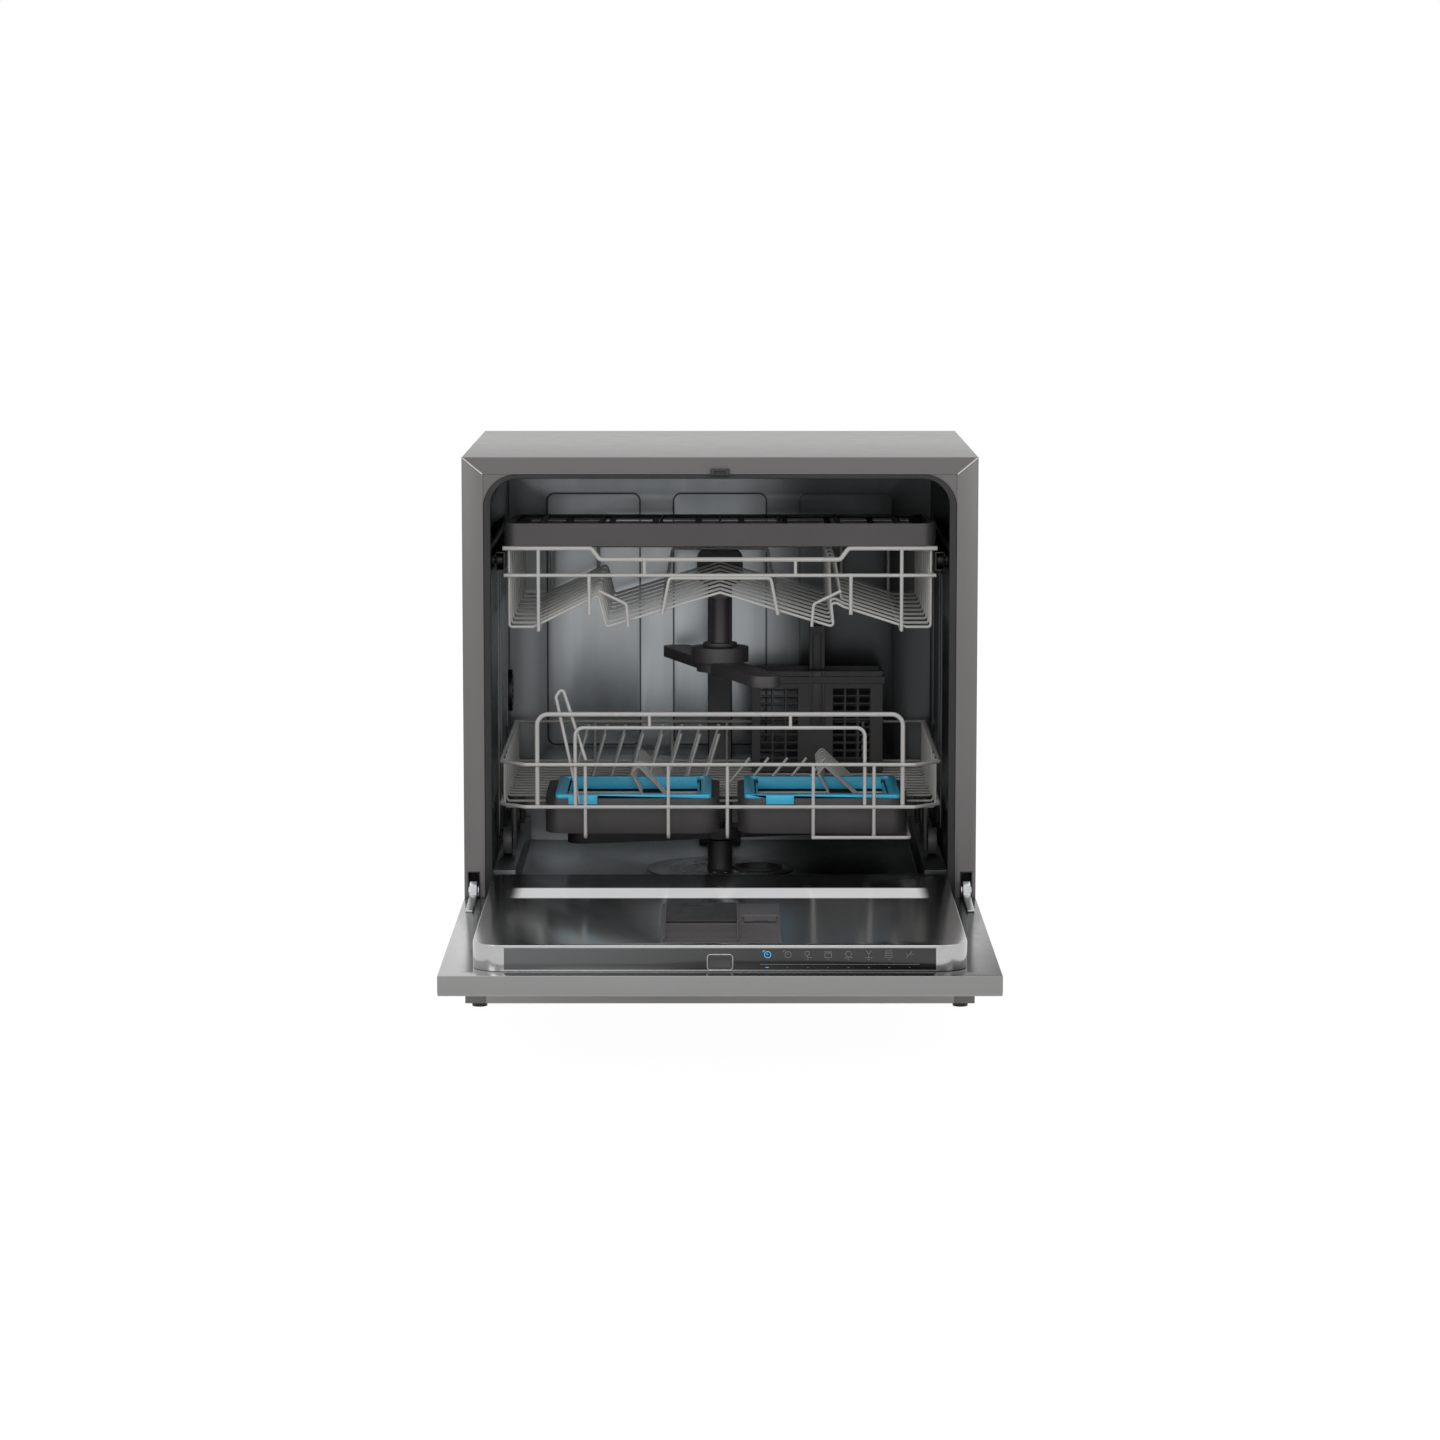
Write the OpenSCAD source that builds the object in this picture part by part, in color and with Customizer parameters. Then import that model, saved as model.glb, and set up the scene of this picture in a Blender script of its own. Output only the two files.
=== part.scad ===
// Countertop dishwasher with an open drop-down door, two wire racks and spray arms.
// X runs across the front, Y runs from the door to the back and Z points up.
// The origin is on the worktop, below the middle of the open machine's outline.

/* [Cabinet] */
// Width across the side panels
body_w = 550; // [548:1:552]
// Depth from the front frame to the back panel
body_d = 472.5; // [472:0.5:480]
// Height from the worktop to the top panel
body_h = 595; // [594:0.5:600]
// Height of the feet below the base
foot_h = 5; // [4:0.5:8]
// Diameter of each foot
foot_d = 16.5; // [14:0.5:20]
// Thickness of the painted sheet
sheet_t = 1.5; // [1:0.1:2]
// Width of the folded front edge of the sides
band_w = 22.5; // [22:0.1:22.9]
// Height of the folded front edge of the top
band_h = 18.6; // [17:0.1:20]

/* [Tub] */
// Width inside the tub
tub_w = 490; // [488:1:490]
// Depth from the front frame to the inside of the tub's back wall
tub_d = 430; // [430:0.5:434]
// Height of the tub's ceiling above the worktop
tub_top = 572.5; // [572:0.1:574]
// Height of the tub's floor above the worktop
tub_floor = 118; // [114:0.5:118]
// Thickness of the tub's steel
tub_t = 1.2; // [0.8:0.1:1.2]
// Radius of the tub's long corners
tub_r = 30; // [26:1:31]

/* [Door] */
// Height of the door's pivot above the worktop
hinge_z = 127.5; // [127:0.1:128]
// Thickness of the outer door panel
door_t = 21; // [18:0.5:24]
// Reach of the open door in front of the frame
door_reach = 465.5; // [462:0.5:466]
// Height of the steel liner above the outer panel
liner_h = 26; // [25:0.1:26]
// Width of the steel liner
liner_w = 486; // [480:1:486]
// Length of travel of the detergent lid
lid_travel = 95; // [60:1:98]

/* [Racks] */
// Depth of the upper and the lower rack
rack_d = 380; // [376:1:382]
// Half width of the upper rack at its side wires
upper_half = 226.5; // [225:0.1:227]
// Half width of the lower rack at its side wires
lower_half = 235; // [233:0.5:235.5]
// Radius of the rim wires
rim_r = 2.5; // [2:0.1:2.8]
// Radius of the frame wires
frame_r = 2; // [1.8:0.1:2.2]
// Radius of the floor wires
floor_r = 1.5; // [1.2:0.1:1.7]
// Bend radius of the frame's large corners
frame_bend = 12; // [8:1:14]
// Overlap of crossing wires at each weld
weld = 0.6; // [0.4:0.1:0.8]

/* [Wheels and arms] */
// Radius of the lower rack's wheels
wheel_r = 15; // [13:0.5:15]
// Radius of the upper rack's guide wheels
guide_r = 8.5; // [7:0.1:8.5]
// Running clearance between a wheel or an arm and its pin
run_gap = 0.1; // [0.05:0.01:0.1]
// Clearance between a wheel and the surface that it rolls on
roll_gap = 0.3; // [0.2:0.05:0.5]
// Reach of the lower spray arm from its pivot
lower_reach = 175; // [150:1:178]
// Reach of the upper spray arm from its pivot
upper_reach = 172; // [150:1:176]

/* [Hidden] */
$fn = 48;

painted = "#77757a";
steel = "#8b8e90";
wire = "#c9c9c5";
black = "#1c1c1d";
grey = "#4b494b";
blue = "#35a5cc";

half = body_w / 2;
tub_half = tub_w / 2;
spigot_out = 18;
front_y = (door_reach - body_d - spigot_out) / 2;
back_y = front_y + body_d;
tub_front = front_y + 12;
tub_back = front_y + tub_d;
base_top = tub_floor;
foot_x = half - 15;

// Hose and cord openings in the back panel
hose_z = 70;
neck = 0.5;
inlet_x = half - 105;
drain_x = half - 60;
gland_x = 75 - half;

// Gasket around the mouth of the tub
gasket_out = 7.5;
gasket_in = 0.2;
gasket_rise = 3.9;
gasket_front = front_y + 0.5;
gasket_bottom = hinge_z - 6.5;

// Hinge slots at the foot of the side panels
slot_x = half - 10.25;
slot_w = 13.5;
slot_low = hinge_z - 22.5;
slot_high = hinge_z + 21.5;
boot_t = 1.2;
boot_d = 28;
pin_r = 3;
knuckle_r = 6.2;
cheek_t = 1.5;
side_gap = 0.3;

// Open door, measured up from the worktop and out from the frame
panel_top = hinge_z - 6.5;
panel_low = panel_top - door_t;
panel_near = 1.5;
liner_top = panel_top + liner_h;
liner_near = 6;
liner_far = door_reach - 23.5;
liner_half = liner_w / 2;
liner_r = 31;
liner_near_r = 12;
liner_t = 1.2;
strip_t = 1.2;
strip_half = liner_half - liner_r - 1;
latch_w = 24.5;
strike_w = 20.8;
strike_low = tub_top + 3;
latch_low = panel_top + 2;
latch_high = panel_top + 17;

// Detergent dispenser, across the door and out from the frame
disp_left = -59;
disp_right = 60.6;
disp_near = 196;
disp_far = 428;
disp_deep = 19;
cup_left = -50;
cup_right = 12;
cup_near = 203;
cup_far = 305;
lid_t = 2;
lid_left = -54;
lid_right = 16.5;
lid_near = 201.5;
lid_far = 312;
flap_left = 24;
flap_right = 57;
flap_near = 289;
flap_far = 312;
flap_pin_r = 0.8;
flap_barrel_r = 1.9;
flap_axis_z = liner_top + 2.4;

// Racks at home, behind the closed door
rack_front = front_y + 25.5;
wire_front = rack_front + rim_r;
lower_shift = wire_front + rack_d + 7.5;
track_z = liner_top;
ledge_in = tub_half - 24;
ledge_front = front_y + 22;
ledge_back = tub_back - 15;
wheel_z = track_z + roll_gap + wheel_r;
wheel_in = lower_half - 6;
wheel_w = 10;
wheel_rows = [284, 92.5];

// Upper rack
up_rail_z = 495.4;
up_dip_z = 483.3;
up_mid_z = 466.2;
up_low_z = 410.3;
up_rows = 9;
up_back = wire_front + rack_d - 2 * rim_r;
up_pitch = (up_back - wire_front - 8) / (up_rows - 1);
rail_web = upper_half + 4.5;
rail_edge = rail_web + 9.5;
rail_sheet = 1.2;
guide_z = 481;
guide_w = 7.5;
guide_in = rail_web + 2.2;
guide_y = [front_y + 50, front_y + 92];
rail_gap = 0.3;

// Spray manifold under the upper rack
arm_y = front_y + 215;
duct_z = 431;
duct_w = 22;
duct_h = 14;
spout_r = 10;
dock_w = 53;
dock_low = 421;
dock_high = 461;
dock_front = tub_back - 26;
post_r = 10;
post_low = 370;
spindle_r = 6;
cap_r = 9;
ring_r = 32;
ring_low = 356;
blade_w = 44;
blade_t = 12;
upper_blade_low = 342;
lower_blade_low = 155;
emboss = 1.6;
pad_w = 108;
pad_low = 231;
pad_high = 525;
pad_pitch = 147;
pad_r = 9;

// Lower rack
lo_rim_z = 261.3;
lo_rail_z = 215.1;
lo_floor_z = 208.7;
lo_base_z = 181.5;
lo_top_z = 315.5;
lo_inner_z = 300.9;
lo_back = wire_front + rack_d - 2 * rim_r;
lo_posts = [-145.4, -55.8, 8, 100.7, 166.3];
hump_rows = [for (k = [0:7]) 253 - 21.4 * k];
flat_rows = [338.6, 295.8, 81.8, 60.4, 39, 17.6];
hump_z = 242;

// Accessory boxes and the cutlery basket
box_left = [-189.7, 19.5];
box_right = [-0.5, 203.5];
box_near = 372;
box_far = 215;
box_low = lo_base_z + frame_r + 0.3;
box_high = 222;
box_t = 2.5;
box_r = 22;
collar_near = 370;
collar_far = 220;
collar_z = 226;
basket_left = 36.5;
basket_right = 187;
basket_near = 75;
basket_far = lower_shift - lo_back + frame_r + 2;
basket_low = lo_floor_z + floor_r + 0.3;
basket_high = 327;
handle_high = 389;
handle_x = 111.8;
handle_w = 17.6;

// Filter and pumps
well_x = 0;
well_r = 70;
well_low = 94;
cup_x = 42;
cup_r = 26;

// Thickness of every other length of a bent wire, and how far a length runs past its corner
bend_thin = 0.94;
bend_reach = 0.75;

function unit(v) = v / norm(v);
function turn(u, v) = acos(max(-1, min(1, u * v)));

// Frame with those axes at a point
function placed(p, x, y, z) = [
    [x[0], y[0], z[0], p[0]],
    [x[1], y[1], z[1], p[1]],
    [x[2], y[2], z[2], p[2]],
    [0, 0, 0, 1]
];

// Straight length of wire between two points
module rod(a, b, r, n = [0, 1, 0]) {
    u = unit(b - a);
    flat = unit(abs(u * n) > 0.9 ? cross(u, [1, 0, 0]) : n - u * (u * n));
    multmatrix(placed(a, flat, cross(u, flat), u))
        rotate([0, 0, 40])
            cylinder(r = r, h = norm(b - a));
}

// Points of a path with each corner replaced by corners around a bend of that radius
function rounded(pts, bend, steps) = bend == 0 ? pts : [
    for (i = [0:len(pts) - 1])
        if (i == 0 || i == len(pts) - 1)
            pts[i]
        else
            let (
                u = unit(pts[i] - pts[i - 1]),
                v = unit(pts[i + 1] - pts[i]),
                phi = turn(u, v),
                inward = unit(v - u * (u * v)),
                c = pts[i] - u * bend * tan(phi / 2) + inward * bend,
                q = bend / cos(phi / steps / 2)
            )
            each [
                for (k = [0.5:steps])
                    c + q * (sin(phi * k / steps) * u - cos(phi * k / steps) * inward)
            ]
];

// Wire bent along a list of points in one plane, with that bend radius at every corner.
// Every other length is a little thinner, so that neighbours join without equal surfaces.
module bent_wire(pts, r, bend = 0, steps = 3) {
    path = rounded(pts, bend, steps);
    last = len(path) - 1;
    dirs = [for (i = [0:last - 1]) unit(path[i + 1] - path[i])];
    n = unit(cross(dirs[0], dirs[1]));
    reach = [
        for (i = [0:last])
            i == 0 || i == last ? 0 : bend_reach * r * tan(turn(dirs[i - 1], dirs[i]) / 2)
    ];
    for (i = [0:last - 1])
        rod(path[i] - dirs[i] * reach[i], path[i + 1] + dirs[i] * reach[i + 1], i % 2 == 0 ? r : r * bend_thin, n);
}

// Plate standing in the XZ plane, from y backward by t
module upright(y, t) {
    translate([0, y + t, 0]) rotate([90, 0, 0]) linear_extrude(t) children();
}

// Profile drawn in the YZ plane and drawn out along X
module across(x, w) {
    translate([x, 0, 0]) rotate([90, 0, 90]) linear_extrude(w) children();
}

// Block given by its two corners
module block(a, b) {
    translate(a) cube(b - a);
}

// Rectangle with four round corners, given by its two corners
module round_rect(a, b, r) {
    translate([a[0] + r, a[1]]) square([b[0] - a[0] - 2 * r, b[1] - a[1]]);
    translate([a[0], a[1] + r]) square([b[0] - a[0], b[1] - a[1] - 2 * r]);
    for (x = [a[0] + r, b[0] - r])
        for (y = [a[1] + r, b[1] - r])
            translate([x, y]) circle(r = r);
}

// Outline with a flat foot and two round top corners
module arch(hw, low, high, r) {
    translate([-hw, low]) square([2 * hw, high - low - r]);
    translate([-hw + r, low]) square([2 * hw - 2 * r, high - low]);
    for (x = [-hw + r, hw - r])
        translate([x, high - r]) circle(r = r);
}

// Cabinet

module top_panel() {
    color(painted) {
        block([-half, front_y, body_h - sheet_t], [half, back_y, body_h]);
        upright(front_y, sheet_t)
            polygon([
                [-half, body_h],
                [half, body_h],
                [half - band_w, body_h - band_h],
                [-half + band_w, body_h - band_h]
            ]);
    }
}

module side_panel(s) {
    fold_x = half - sheet_t * band_w / band_h;
    color(painted)
        difference() {
            union() {
                block([min(s * half, s * (half - sheet_t)), front_y, foot_h],
                    [max(s * half, s * (half - sheet_t)), back_y, body_h - sheet_t]);
                upright(front_y, sheet_t)
                    polygon([
                        [s * (half - band_w), foot_h],
                        [s * half, foot_h],
                        [s * half, body_h - sheet_t],
                        [s * fold_x, body_h - sheet_t],
                        [s * (half - band_w), body_h - band_h]
                    ]);
            }
            translate([s * slot_x - slot_w / 2, front_y - 1, slot_low])
                cube([slot_w, sheet_t + 2, slot_high - slot_low]);
        }
}

module back_panel() {
    color(painted)
        difference() {
            block([-half + sheet_t, back_y - sheet_t, foot_h + 2], [half - sheet_t, back_y, body_h - sheet_t]);
            for (p = [[inlet_x, 13], [drain_x, 10.5], [gland_x, 9.5]])
                translate([p[0], back_y + 1, hose_z]) rotate([90, 0, 0])
                    cylinder(r = p[1], h = sheet_t + 2);
            for (i = [0:7])
                translate([-60 + 16 * i, back_y - sheet_t - 1, 60])
                    cube([6, sheet_t + 2, 34]);
        }
}

module base_tray() {
    low = foot_h;
    color(painted)
        difference() {
            union() {
                block([-half + sheet_t, front_y + sheet_t, low], [half - sheet_t, back_y - sheet_t, low + 2]);
                block([-half + band_w, front_y, low], [half - band_w, front_y + sheet_t, base_top]);
                for (s = [-1, 1])
                    for (y = [front_y + 14, back_y - 22])
                        translate([s * foot_x, y, low]) cylinder(r = 11, h = 14);
                for (s = [-1, 1])
                    for (x = [half - 101, half - 85, half - 69])
                        translate([s * x, front_y + 8, low - 1.3]) cylinder(r = 1.8, h = 3);
            }
            for (s = [-1, 1])
                for (y = [front_y + 14, back_y - 22])
                    translate([s * foot_x, y, low - 1]) cylinder(r = 4, h = 16);
        }
}

module levelling_feet() {
    color(black)
        for (s = [-1, 1])
            for (y = [front_y + 14, back_y - 22])
                translate([s * foot_x, y, 0]) {
                    cylinder(r = foot_d / 2, h = foot_h);
                    cylinder(r = 3.95, h = foot_h + 13);
                }
}

module front_frame() {
    color(painted)
        difference() {
            union() {
                upright(front_y + sheet_t, 2.5)
                    translate([-half + sheet_t, base_top])
                        square([body_w - 2 * sheet_t, body_h - sheet_t - base_top]);
                upright(front_y + sheet_t, 12 - sheet_t)
                    arch(tub_half + gasket_out + 3, base_top, tub_top + gasket_out, tub_r + 9);
            }
            upright(front_y, 14)
                arch(tub_half + gasket_out, base_top - 5, tub_top + gasket_rise, tub_r + 6);
            for (s = [-1, 1])
                translate([s * slot_x - slot_w / 2, front_y, slot_low])
                    cube([slot_w, 20, slot_high - slot_low]);
        }
}

// Shell of the tub, with raised panels on the back wall and ledges for the wheels
module tub() {
    shell_d = tub_d - 12;
    color(steel)
        difference() {
            union() {
                difference() {
                    upright(tub_front, shell_d + tub_t)
                        round_rect([-tub_half - tub_t, tub_floor - tub_t], [tub_half + tub_t, tub_top + tub_t], tub_r + tub_t);
                    upright(tub_front - 1, shell_d + 1)
                        round_rect([-tub_half, tub_floor], [tub_half, tub_top], tub_r);
                }
                difference() {
                    upright(tub_front, tub_t)
                        arch(tub_half + 11, base_top + 3, tub_top + 10, tub_r + 8);
                    upright(tub_front - 1, tub_t + 2)
                        round_rect([-tub_half, tub_floor], [tub_half, tub_top], tub_r);
                }
                for (i = [-1:1])
                    upright(tub_back - emboss, emboss)
                        round_rect([i * pad_pitch - pad_w / 2, pad_low], [i * pad_pitch + pad_w / 2, pad_high], pad_r);
                for (s = [-1, 1]) {
                    block([min(s * ledge_in, s * tub_half), ledge_front, tub_floor - tub_t / 2],
                        [max(s * ledge_in, s * tub_half), ledge_back, track_z]);
                    for (y = [tub_d - 280, tub_d - 230, tub_d - 90])
                        translate([s * tub_half, front_y + y, 0]) rotate([0, -s * 90, 0])
                            linear_extrude(emboss)
                                round_rect([s * (tub_floor + 52), -4], [s * (tub_top - 112.5), 4], 3.9);
                }
            }
            for (s = [-1, 1])
                block([min(s * (ledge_in + tub_t), s * (tub_half + 3)), ledge_front + tub_t, tub_floor - 3],
                    [max(s * (ledge_in + tub_t), s * (tub_half + 3)), ledge_back - tub_t, track_z - tub_t]);
            translate([well_x, arm_y, tub_floor - 5]) cylinder(r = well_r, h = 10);
        }
}

// Steel cup under the hole in the tub's floor, with a flange against the floor and a drain hole
module drain_well() {
    color(steel)
        difference() {
            union() {
                translate([well_x, arm_y, well_low - tub_t]) cylinder(r = well_r + tub_t, h = tub_floor - well_low);
                translate([well_x, arm_y, tub_floor - 2 * tub_t]) cylinder(r = well_r + 9, h = tub_t);
            }
            translate([well_x, arm_y, well_low]) cylinder(r = well_r, h = tub_floor - well_low);
            translate([well_x, arm_y, well_low - 5]) cylinder(r = 20, h = 10);
        }
}

module tub_gasket() {
    color(black)
        difference() {
            upright(gasket_front, tub_front - gasket_front)
                arch(tub_half + gasket_out, gasket_bottom, tub_top + gasket_rise, tub_r + 6);
            upright(gasket_front - 1, 14)
                arch(tub_half - gasket_in, gasket_bottom - 1, tub_top - 0.7, tub_r - 0.2);
        }
}

module threshold_strip() {
    nose_r = 5;
    color(steel)
        across(-tub_half + gasket_in, tub_w - 2 * gasket_in) {
            translate([front_y + sheet_t + nose_r, hinge_z + 4.5 - nose_r]) circle(r = nose_r);
            translate([front_y + sheet_t + nose_r, hinge_z + 4.5 - 2 * nose_r])
                square([tub_front - front_y - sheet_t - nose_r, 2 * nose_r]);
            translate([front_y + sheet_t, base_top]) square([2, hinge_z - 0.5 - base_top]);
            translate([tub_front - 2, base_top]) square([2, hinge_z - 0.5 - base_top]);
        }
}

module latch_strike() {
    color(black)
        difference() {
            block([-strike_w / 2, front_y - 4, strike_low], [strike_w / 2, front_y, strike_low + 6]);
            block([-6, front_y - 5, strike_low + 1.5], [6, front_y - 1.5, strike_low + 4.5]);
        }
}

module hinge_boot(s) {
    x = s * slot_x;
    color(black)
        difference() {
            translate([x - slot_w / 2, front_y + 0.2, slot_low])
                cube([slot_w, boot_d, slot_high - slot_low]);
            translate([x - slot_w / 2 + boot_t, front_y - 1, slot_low + boot_t])
                cube([slot_w - 2 * boot_t, boot_d, slot_high - slot_low - 2 * boot_t]);
        }
}

// Two steel cheeks and the pin that the door turns on
module hinge_bracket(s) {
    inner = slot_w / 2 - boot_t;
    color(steel)
        for (e = [-1, 1])
            across(s * slot_x + (e < 0 ? -inner : inner - cheek_t), cheek_t) {
                translate([front_y, hinge_z]) circle(r = knuckle_r);
                translate([front_y, hinge_z - knuckle_r]) square([boot_d - 1, 2 * knuckle_r]);
            }
    color(steel)
        translate([s * slot_x - inner + cheek_t / 2, front_y, hinge_z]) rotate([0, 90, 0])
            cylinder(r = pin_r, h = 2 * inner - cheek_t);
}

module feed_pipe() {
    color(black) {
        block([-14, dock_front + 2, tub_floor], [14, tub_back - emboss, dock_low]);
        block([-24, dock_front - 4, tub_floor], [24, tub_back - emboss, tub_floor + 14]);
    }
}

module feed_dock() {
    color(black)
        difference() {
            upright(dock_front, tub_back - emboss - dock_front)
                round_rect([-dock_w / 2, dock_low], [dock_w / 2, dock_high], 12);
            translate([0, dock_front - 1, duct_z]) rotate([-90, 0, 0])
                cylinder(r = spout_r + 0.4, h = 13);
        }
}

module filter_plate() {
    hole_r = 3;
    color(steel)
        difference() {
            translate([well_x, arm_y, tub_floor]) cylinder(r = well_r + 12, h = 1.2);
            translate([cup_x, arm_y, tub_floor - 1]) cylinder(r = cup_r + 0.4, h = 4);
            translate([well_x, arm_y, tub_floor - 1]) cylinder(r = 14, h = 4);
            for (a = [60:20:300])
                for (d = [36, 52])
                    translate([well_x + d * cos(a), arm_y + d * sin(a), tub_floor - 1])
                        cylinder(r = hole_r, h = 4);
        }
}

module filter_cup() {
    color(grey)
        translate([cup_x, arm_y, 0])
            difference() {
                union() {
                    translate([0, 0, well_low + 0.3]) cylinder(r = cup_r, h = tub_floor + 1.5 - well_low);
                    translate([0, 0, tub_floor + 1.2]) cylinder(r = cup_r + 1.8, h = 2);
                }
                translate([0, 0, well_low + 2]) cylinder(r = cup_r - 2, h = 40);
            }
}

module arm_spindle() {
    color(grey)
        translate([0, arm_y, 0]) {
            translate([0, 0, well_low]) cylinder(r = 14 - 0.3, h = lower_blade_low - 4 - well_low);
            translate([-4, -28, well_low]) cube([8, 56, 3]);
            translate([0, 0, lower_blade_low - 5]) cylinder(r = spindle_r, h = blade_t + 11);
            translate([0, 0, lower_blade_low + blade_t + 4.5]) cylinder(r = cap_r, h = 3);
        }
}

module sump_body() {
    color(grey)
        translate([0, arm_y, 0])
            difference() {
                union() {
                    translate([0, 0, 52]) cylinder(r = 60, h = well_low - tub_t - 52);
                    translate([0, 0, foot_h + 2]) cylinder(r = 24, h = 48);
                }
                translate([0, 0, 56]) cylinder(r = 52, h = 60);
            }
}

module wash_pump() {
    color(grey)
        translate([60, arm_y, 70]) rotate([0, 90, 0]) {
            cylinder(r = 18, h = 14);
            translate([0, 0, 14]) cylinder(r = 34, h = 24);
            translate([0, 0, 38]) cylinder(r = 28, h = 66);
        }
    color(grey)
        for (x = [104, 150])
            block([x, arm_y - 20, foot_h + 2], [x + 6, arm_y + 20, 47]);
}

module drain_pump() {
    color(grey)
        translate([-60, arm_y, 68]) rotate([0, -90, 0]) {
            cylinder(r = 14, h = 12);
            translate([0, 0, 12]) cylinder(r = 24, h = 16);
            translate([0, 0, 28]) cylinder(r = 18, h = 40);
        }
    color(grey)
        block([-112, arm_y - 14, foot_h + 2], [-106, arm_y + 14, 54]);
}

module water_inlet() {
    color(grey)
        translate([inlet_x, back_y, hose_z]) rotate([-90, 0, 0])
            difference() {
                union() {
                    translate([0, 0, -46]) cylinder(r = 17, h = 46 - sheet_t);
                    translate([0, 0, -sheet_t - 1]) cylinder(r = 12.4, h = sheet_t + 2);
                    translate([0, 0, neck]) cylinder(r = 12.9, h = 12 - neck);
                }
                translate([0, 0, -20]) cylinder(r = 8, h = 40);
            }
}

module drain_spigot() {
    color(grey)
        translate([drain_x, back_y, hose_z]) rotate([-90, 0, 0])
            difference() {
                union() {
                    translate([0, 0, -20]) cylinder(r = 14, h = 20 - sheet_t);
                    translate([0, 0, -sheet_t - 1]) cylinder(r = 9.9, h = sheet_t + 2);
                    translate([0, 0, neck]) cylinder(r = 10.4, h = spigot_out - neck);
                }
                translate([0, 0, -10]) cylinder(r = 8, h = 40);
            }
}

module cord_gland() {
    color(black)
        translate([gland_x, back_y, hose_z]) rotate([-90, 0, 0])
            difference() {
                union() {
                    translate([0, 0, -8]) cylinder(r = 12, h = 8 - sheet_t);
                    translate([0, 0, -3]) cylinder(r = 9.4, h = 4);
                    cylinder(r = 12, h = 4);
                }
                translate([0, 0, -20]) cylinder(r = 4.5, h = 40);
            }
}

module vent_cover() {
    color(black)
        translate([-tub_half, tub_back - 45, 300]) rotate([0, 90, 0])
            difference() {
                cylinder(r = 24, h = 5);
                for (i = [-2:2])
                    translate([i * 8 - 1.5, -16, 3]) cube([3, 32, 4]);
            }
}

// Axles on the tub's walls that the upper rack's rails run along
module guide_axles() {
    color(steel)
        for (s = [-1, 1])
            for (y = guide_y)
                translate([s * tub_half, y, guide_z]) rotate([0, -s * 90, 0]) {
                    cylinder(r = 6, h = 2);
                    cylinder(r = 2, h = tub_half - guide_in + 0.5);
                }
}

module guide_wheel(s, y) {
    color(black)
        translate([s * guide_in, y, guide_z]) rotate([0, s * 90, 0])
            difference() {
                cylinder(r = guide_r, h = guide_w);
                translate([0, 0, -1]) cylinder(r = 2 + run_gap, h = guide_w + 2);
            }
}

// Door

module door_panel() {
    color(painted)
        difference() {
            across(-half, body_w)
                polygon([
                    [front_y - panel_near, panel_low],
                    [front_y - door_reach + 5, panel_low],
                    [front_y - door_reach, panel_low + 4],
                    [front_y - door_reach, panel_top],
                    [front_y - panel_near, panel_top]
                ]);
            block([-half + sheet_t, front_y - door_reach + 7, panel_low + sheet_t],
                [half - sheet_t, front_y - panel_near - sheet_t, panel_top - sheet_t]);
            block([-liner_half + 14, front_y - liner_far + 14, panel_low + 5],
                [liner_half - 14, front_y - liner_near - 14, panel_top + 1]);
        }
}

// Outline of the liner, seen from above, with large far corners and smaller near ones
module liner_outline(inset) {
    hw = liner_half - inset;
    far = front_y - liner_far + inset;
    near = front_y - liner_near - inset;
    r = liner_r - inset;
    q = liner_near_r - inset;
    translate([-hw, far + r]) square([2 * hw, near - far - r - q]);
    translate([-hw + r, far]) square([2 * hw - 2 * r, near - far - q]);
    translate([-hw + q, far + r]) square([2 * hw - 2 * q, near - far - r]);
    for (s = [-1, 1]) {
        translate([s * (hw - r), far + r]) circle(r = r);
        translate([s * (hw - q), near - q]) circle(r = q);
    }
}

module door_liner() {
    color(steel)
        difference() {
            translate([0, 0, panel_top]) linear_extrude(liner_h) liner_outline(0);
            translate([0, 0, panel_top - 1]) linear_extrude(liner_h + 1 - liner_t) liner_outline(liner_t);
            block([disp_left, front_y - disp_far, liner_top - 5], [disp_right, front_y - disp_near, liner_top + 5]);
        }
}

module control_strip() {
    y = front_y - liner_far - strip_t;
    color(black)
        difference() {
            block([-strip_half, y, panel_top + 2], [strip_half, y + strip_t, liner_top - 2.5]);
            block([-latch_w / 2, y - 1, latch_low], [latch_w / 2, y + 3, latch_high]);
        }
}

module latch_insert() {
    y = front_y - liner_far - strip_t;
    color(grey)
        difference() {
            block([-latch_w / 2, y, latch_low], [latch_w / 2, y + strip_t, latch_high]);
            block([-latch_w / 2 + 1.5, y - 1, latch_low + 4], [latch_w / 2 - 1.5, y + 0.7, latch_high - 3]);
        }
}

module dispenser_body() {
    top = liner_top;
    color(grey)
        difference() {
            union() {
                block([disp_left, front_y - disp_far, top - disp_deep], [disp_right, front_y - disp_near, top]);
                for (x = [lid_left - side_gap - 1.2, lid_right + side_gap])
                    block([x, front_y - disp_far + 8, top - 0.5], [x + 1.2, front_y - disp_near - 4, top + 2.6]);
                for (x = [flap_left - 1.6, flap_right])
                    translate([x, front_y - flap_near, flap_axis_z]) rotate([0, 90, 0]) {
                        cylinder(r = flap_barrel_r, h = 1.6);
                        translate([0, -flap_barrel_r, 0]) cube([3, 2 * flap_barrel_r, 1.6]);
                    }
            }
            block([cup_left, front_y - cup_far, top - 14], [cup_right, front_y - cup_near, top + 1]);
            block([flap_left + 3, front_y - flap_far + 2, top - 14], [flap_right - 3, front_y - flap_near - 3, top + 1]);
            for (i = [0:13])
                block([-56 + 0, front_y - 330 - 7 * i, top - 1.2], [58, front_y - 327 - 7 * i, top - 0.0]);
        }
    color(grey)
        translate([flap_left - 1, front_y - flap_near, flap_axis_z]) rotate([0, 90, 0])
            cylinder(r = flap_pin_r, h = flap_right - flap_left + 2);
}

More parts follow.
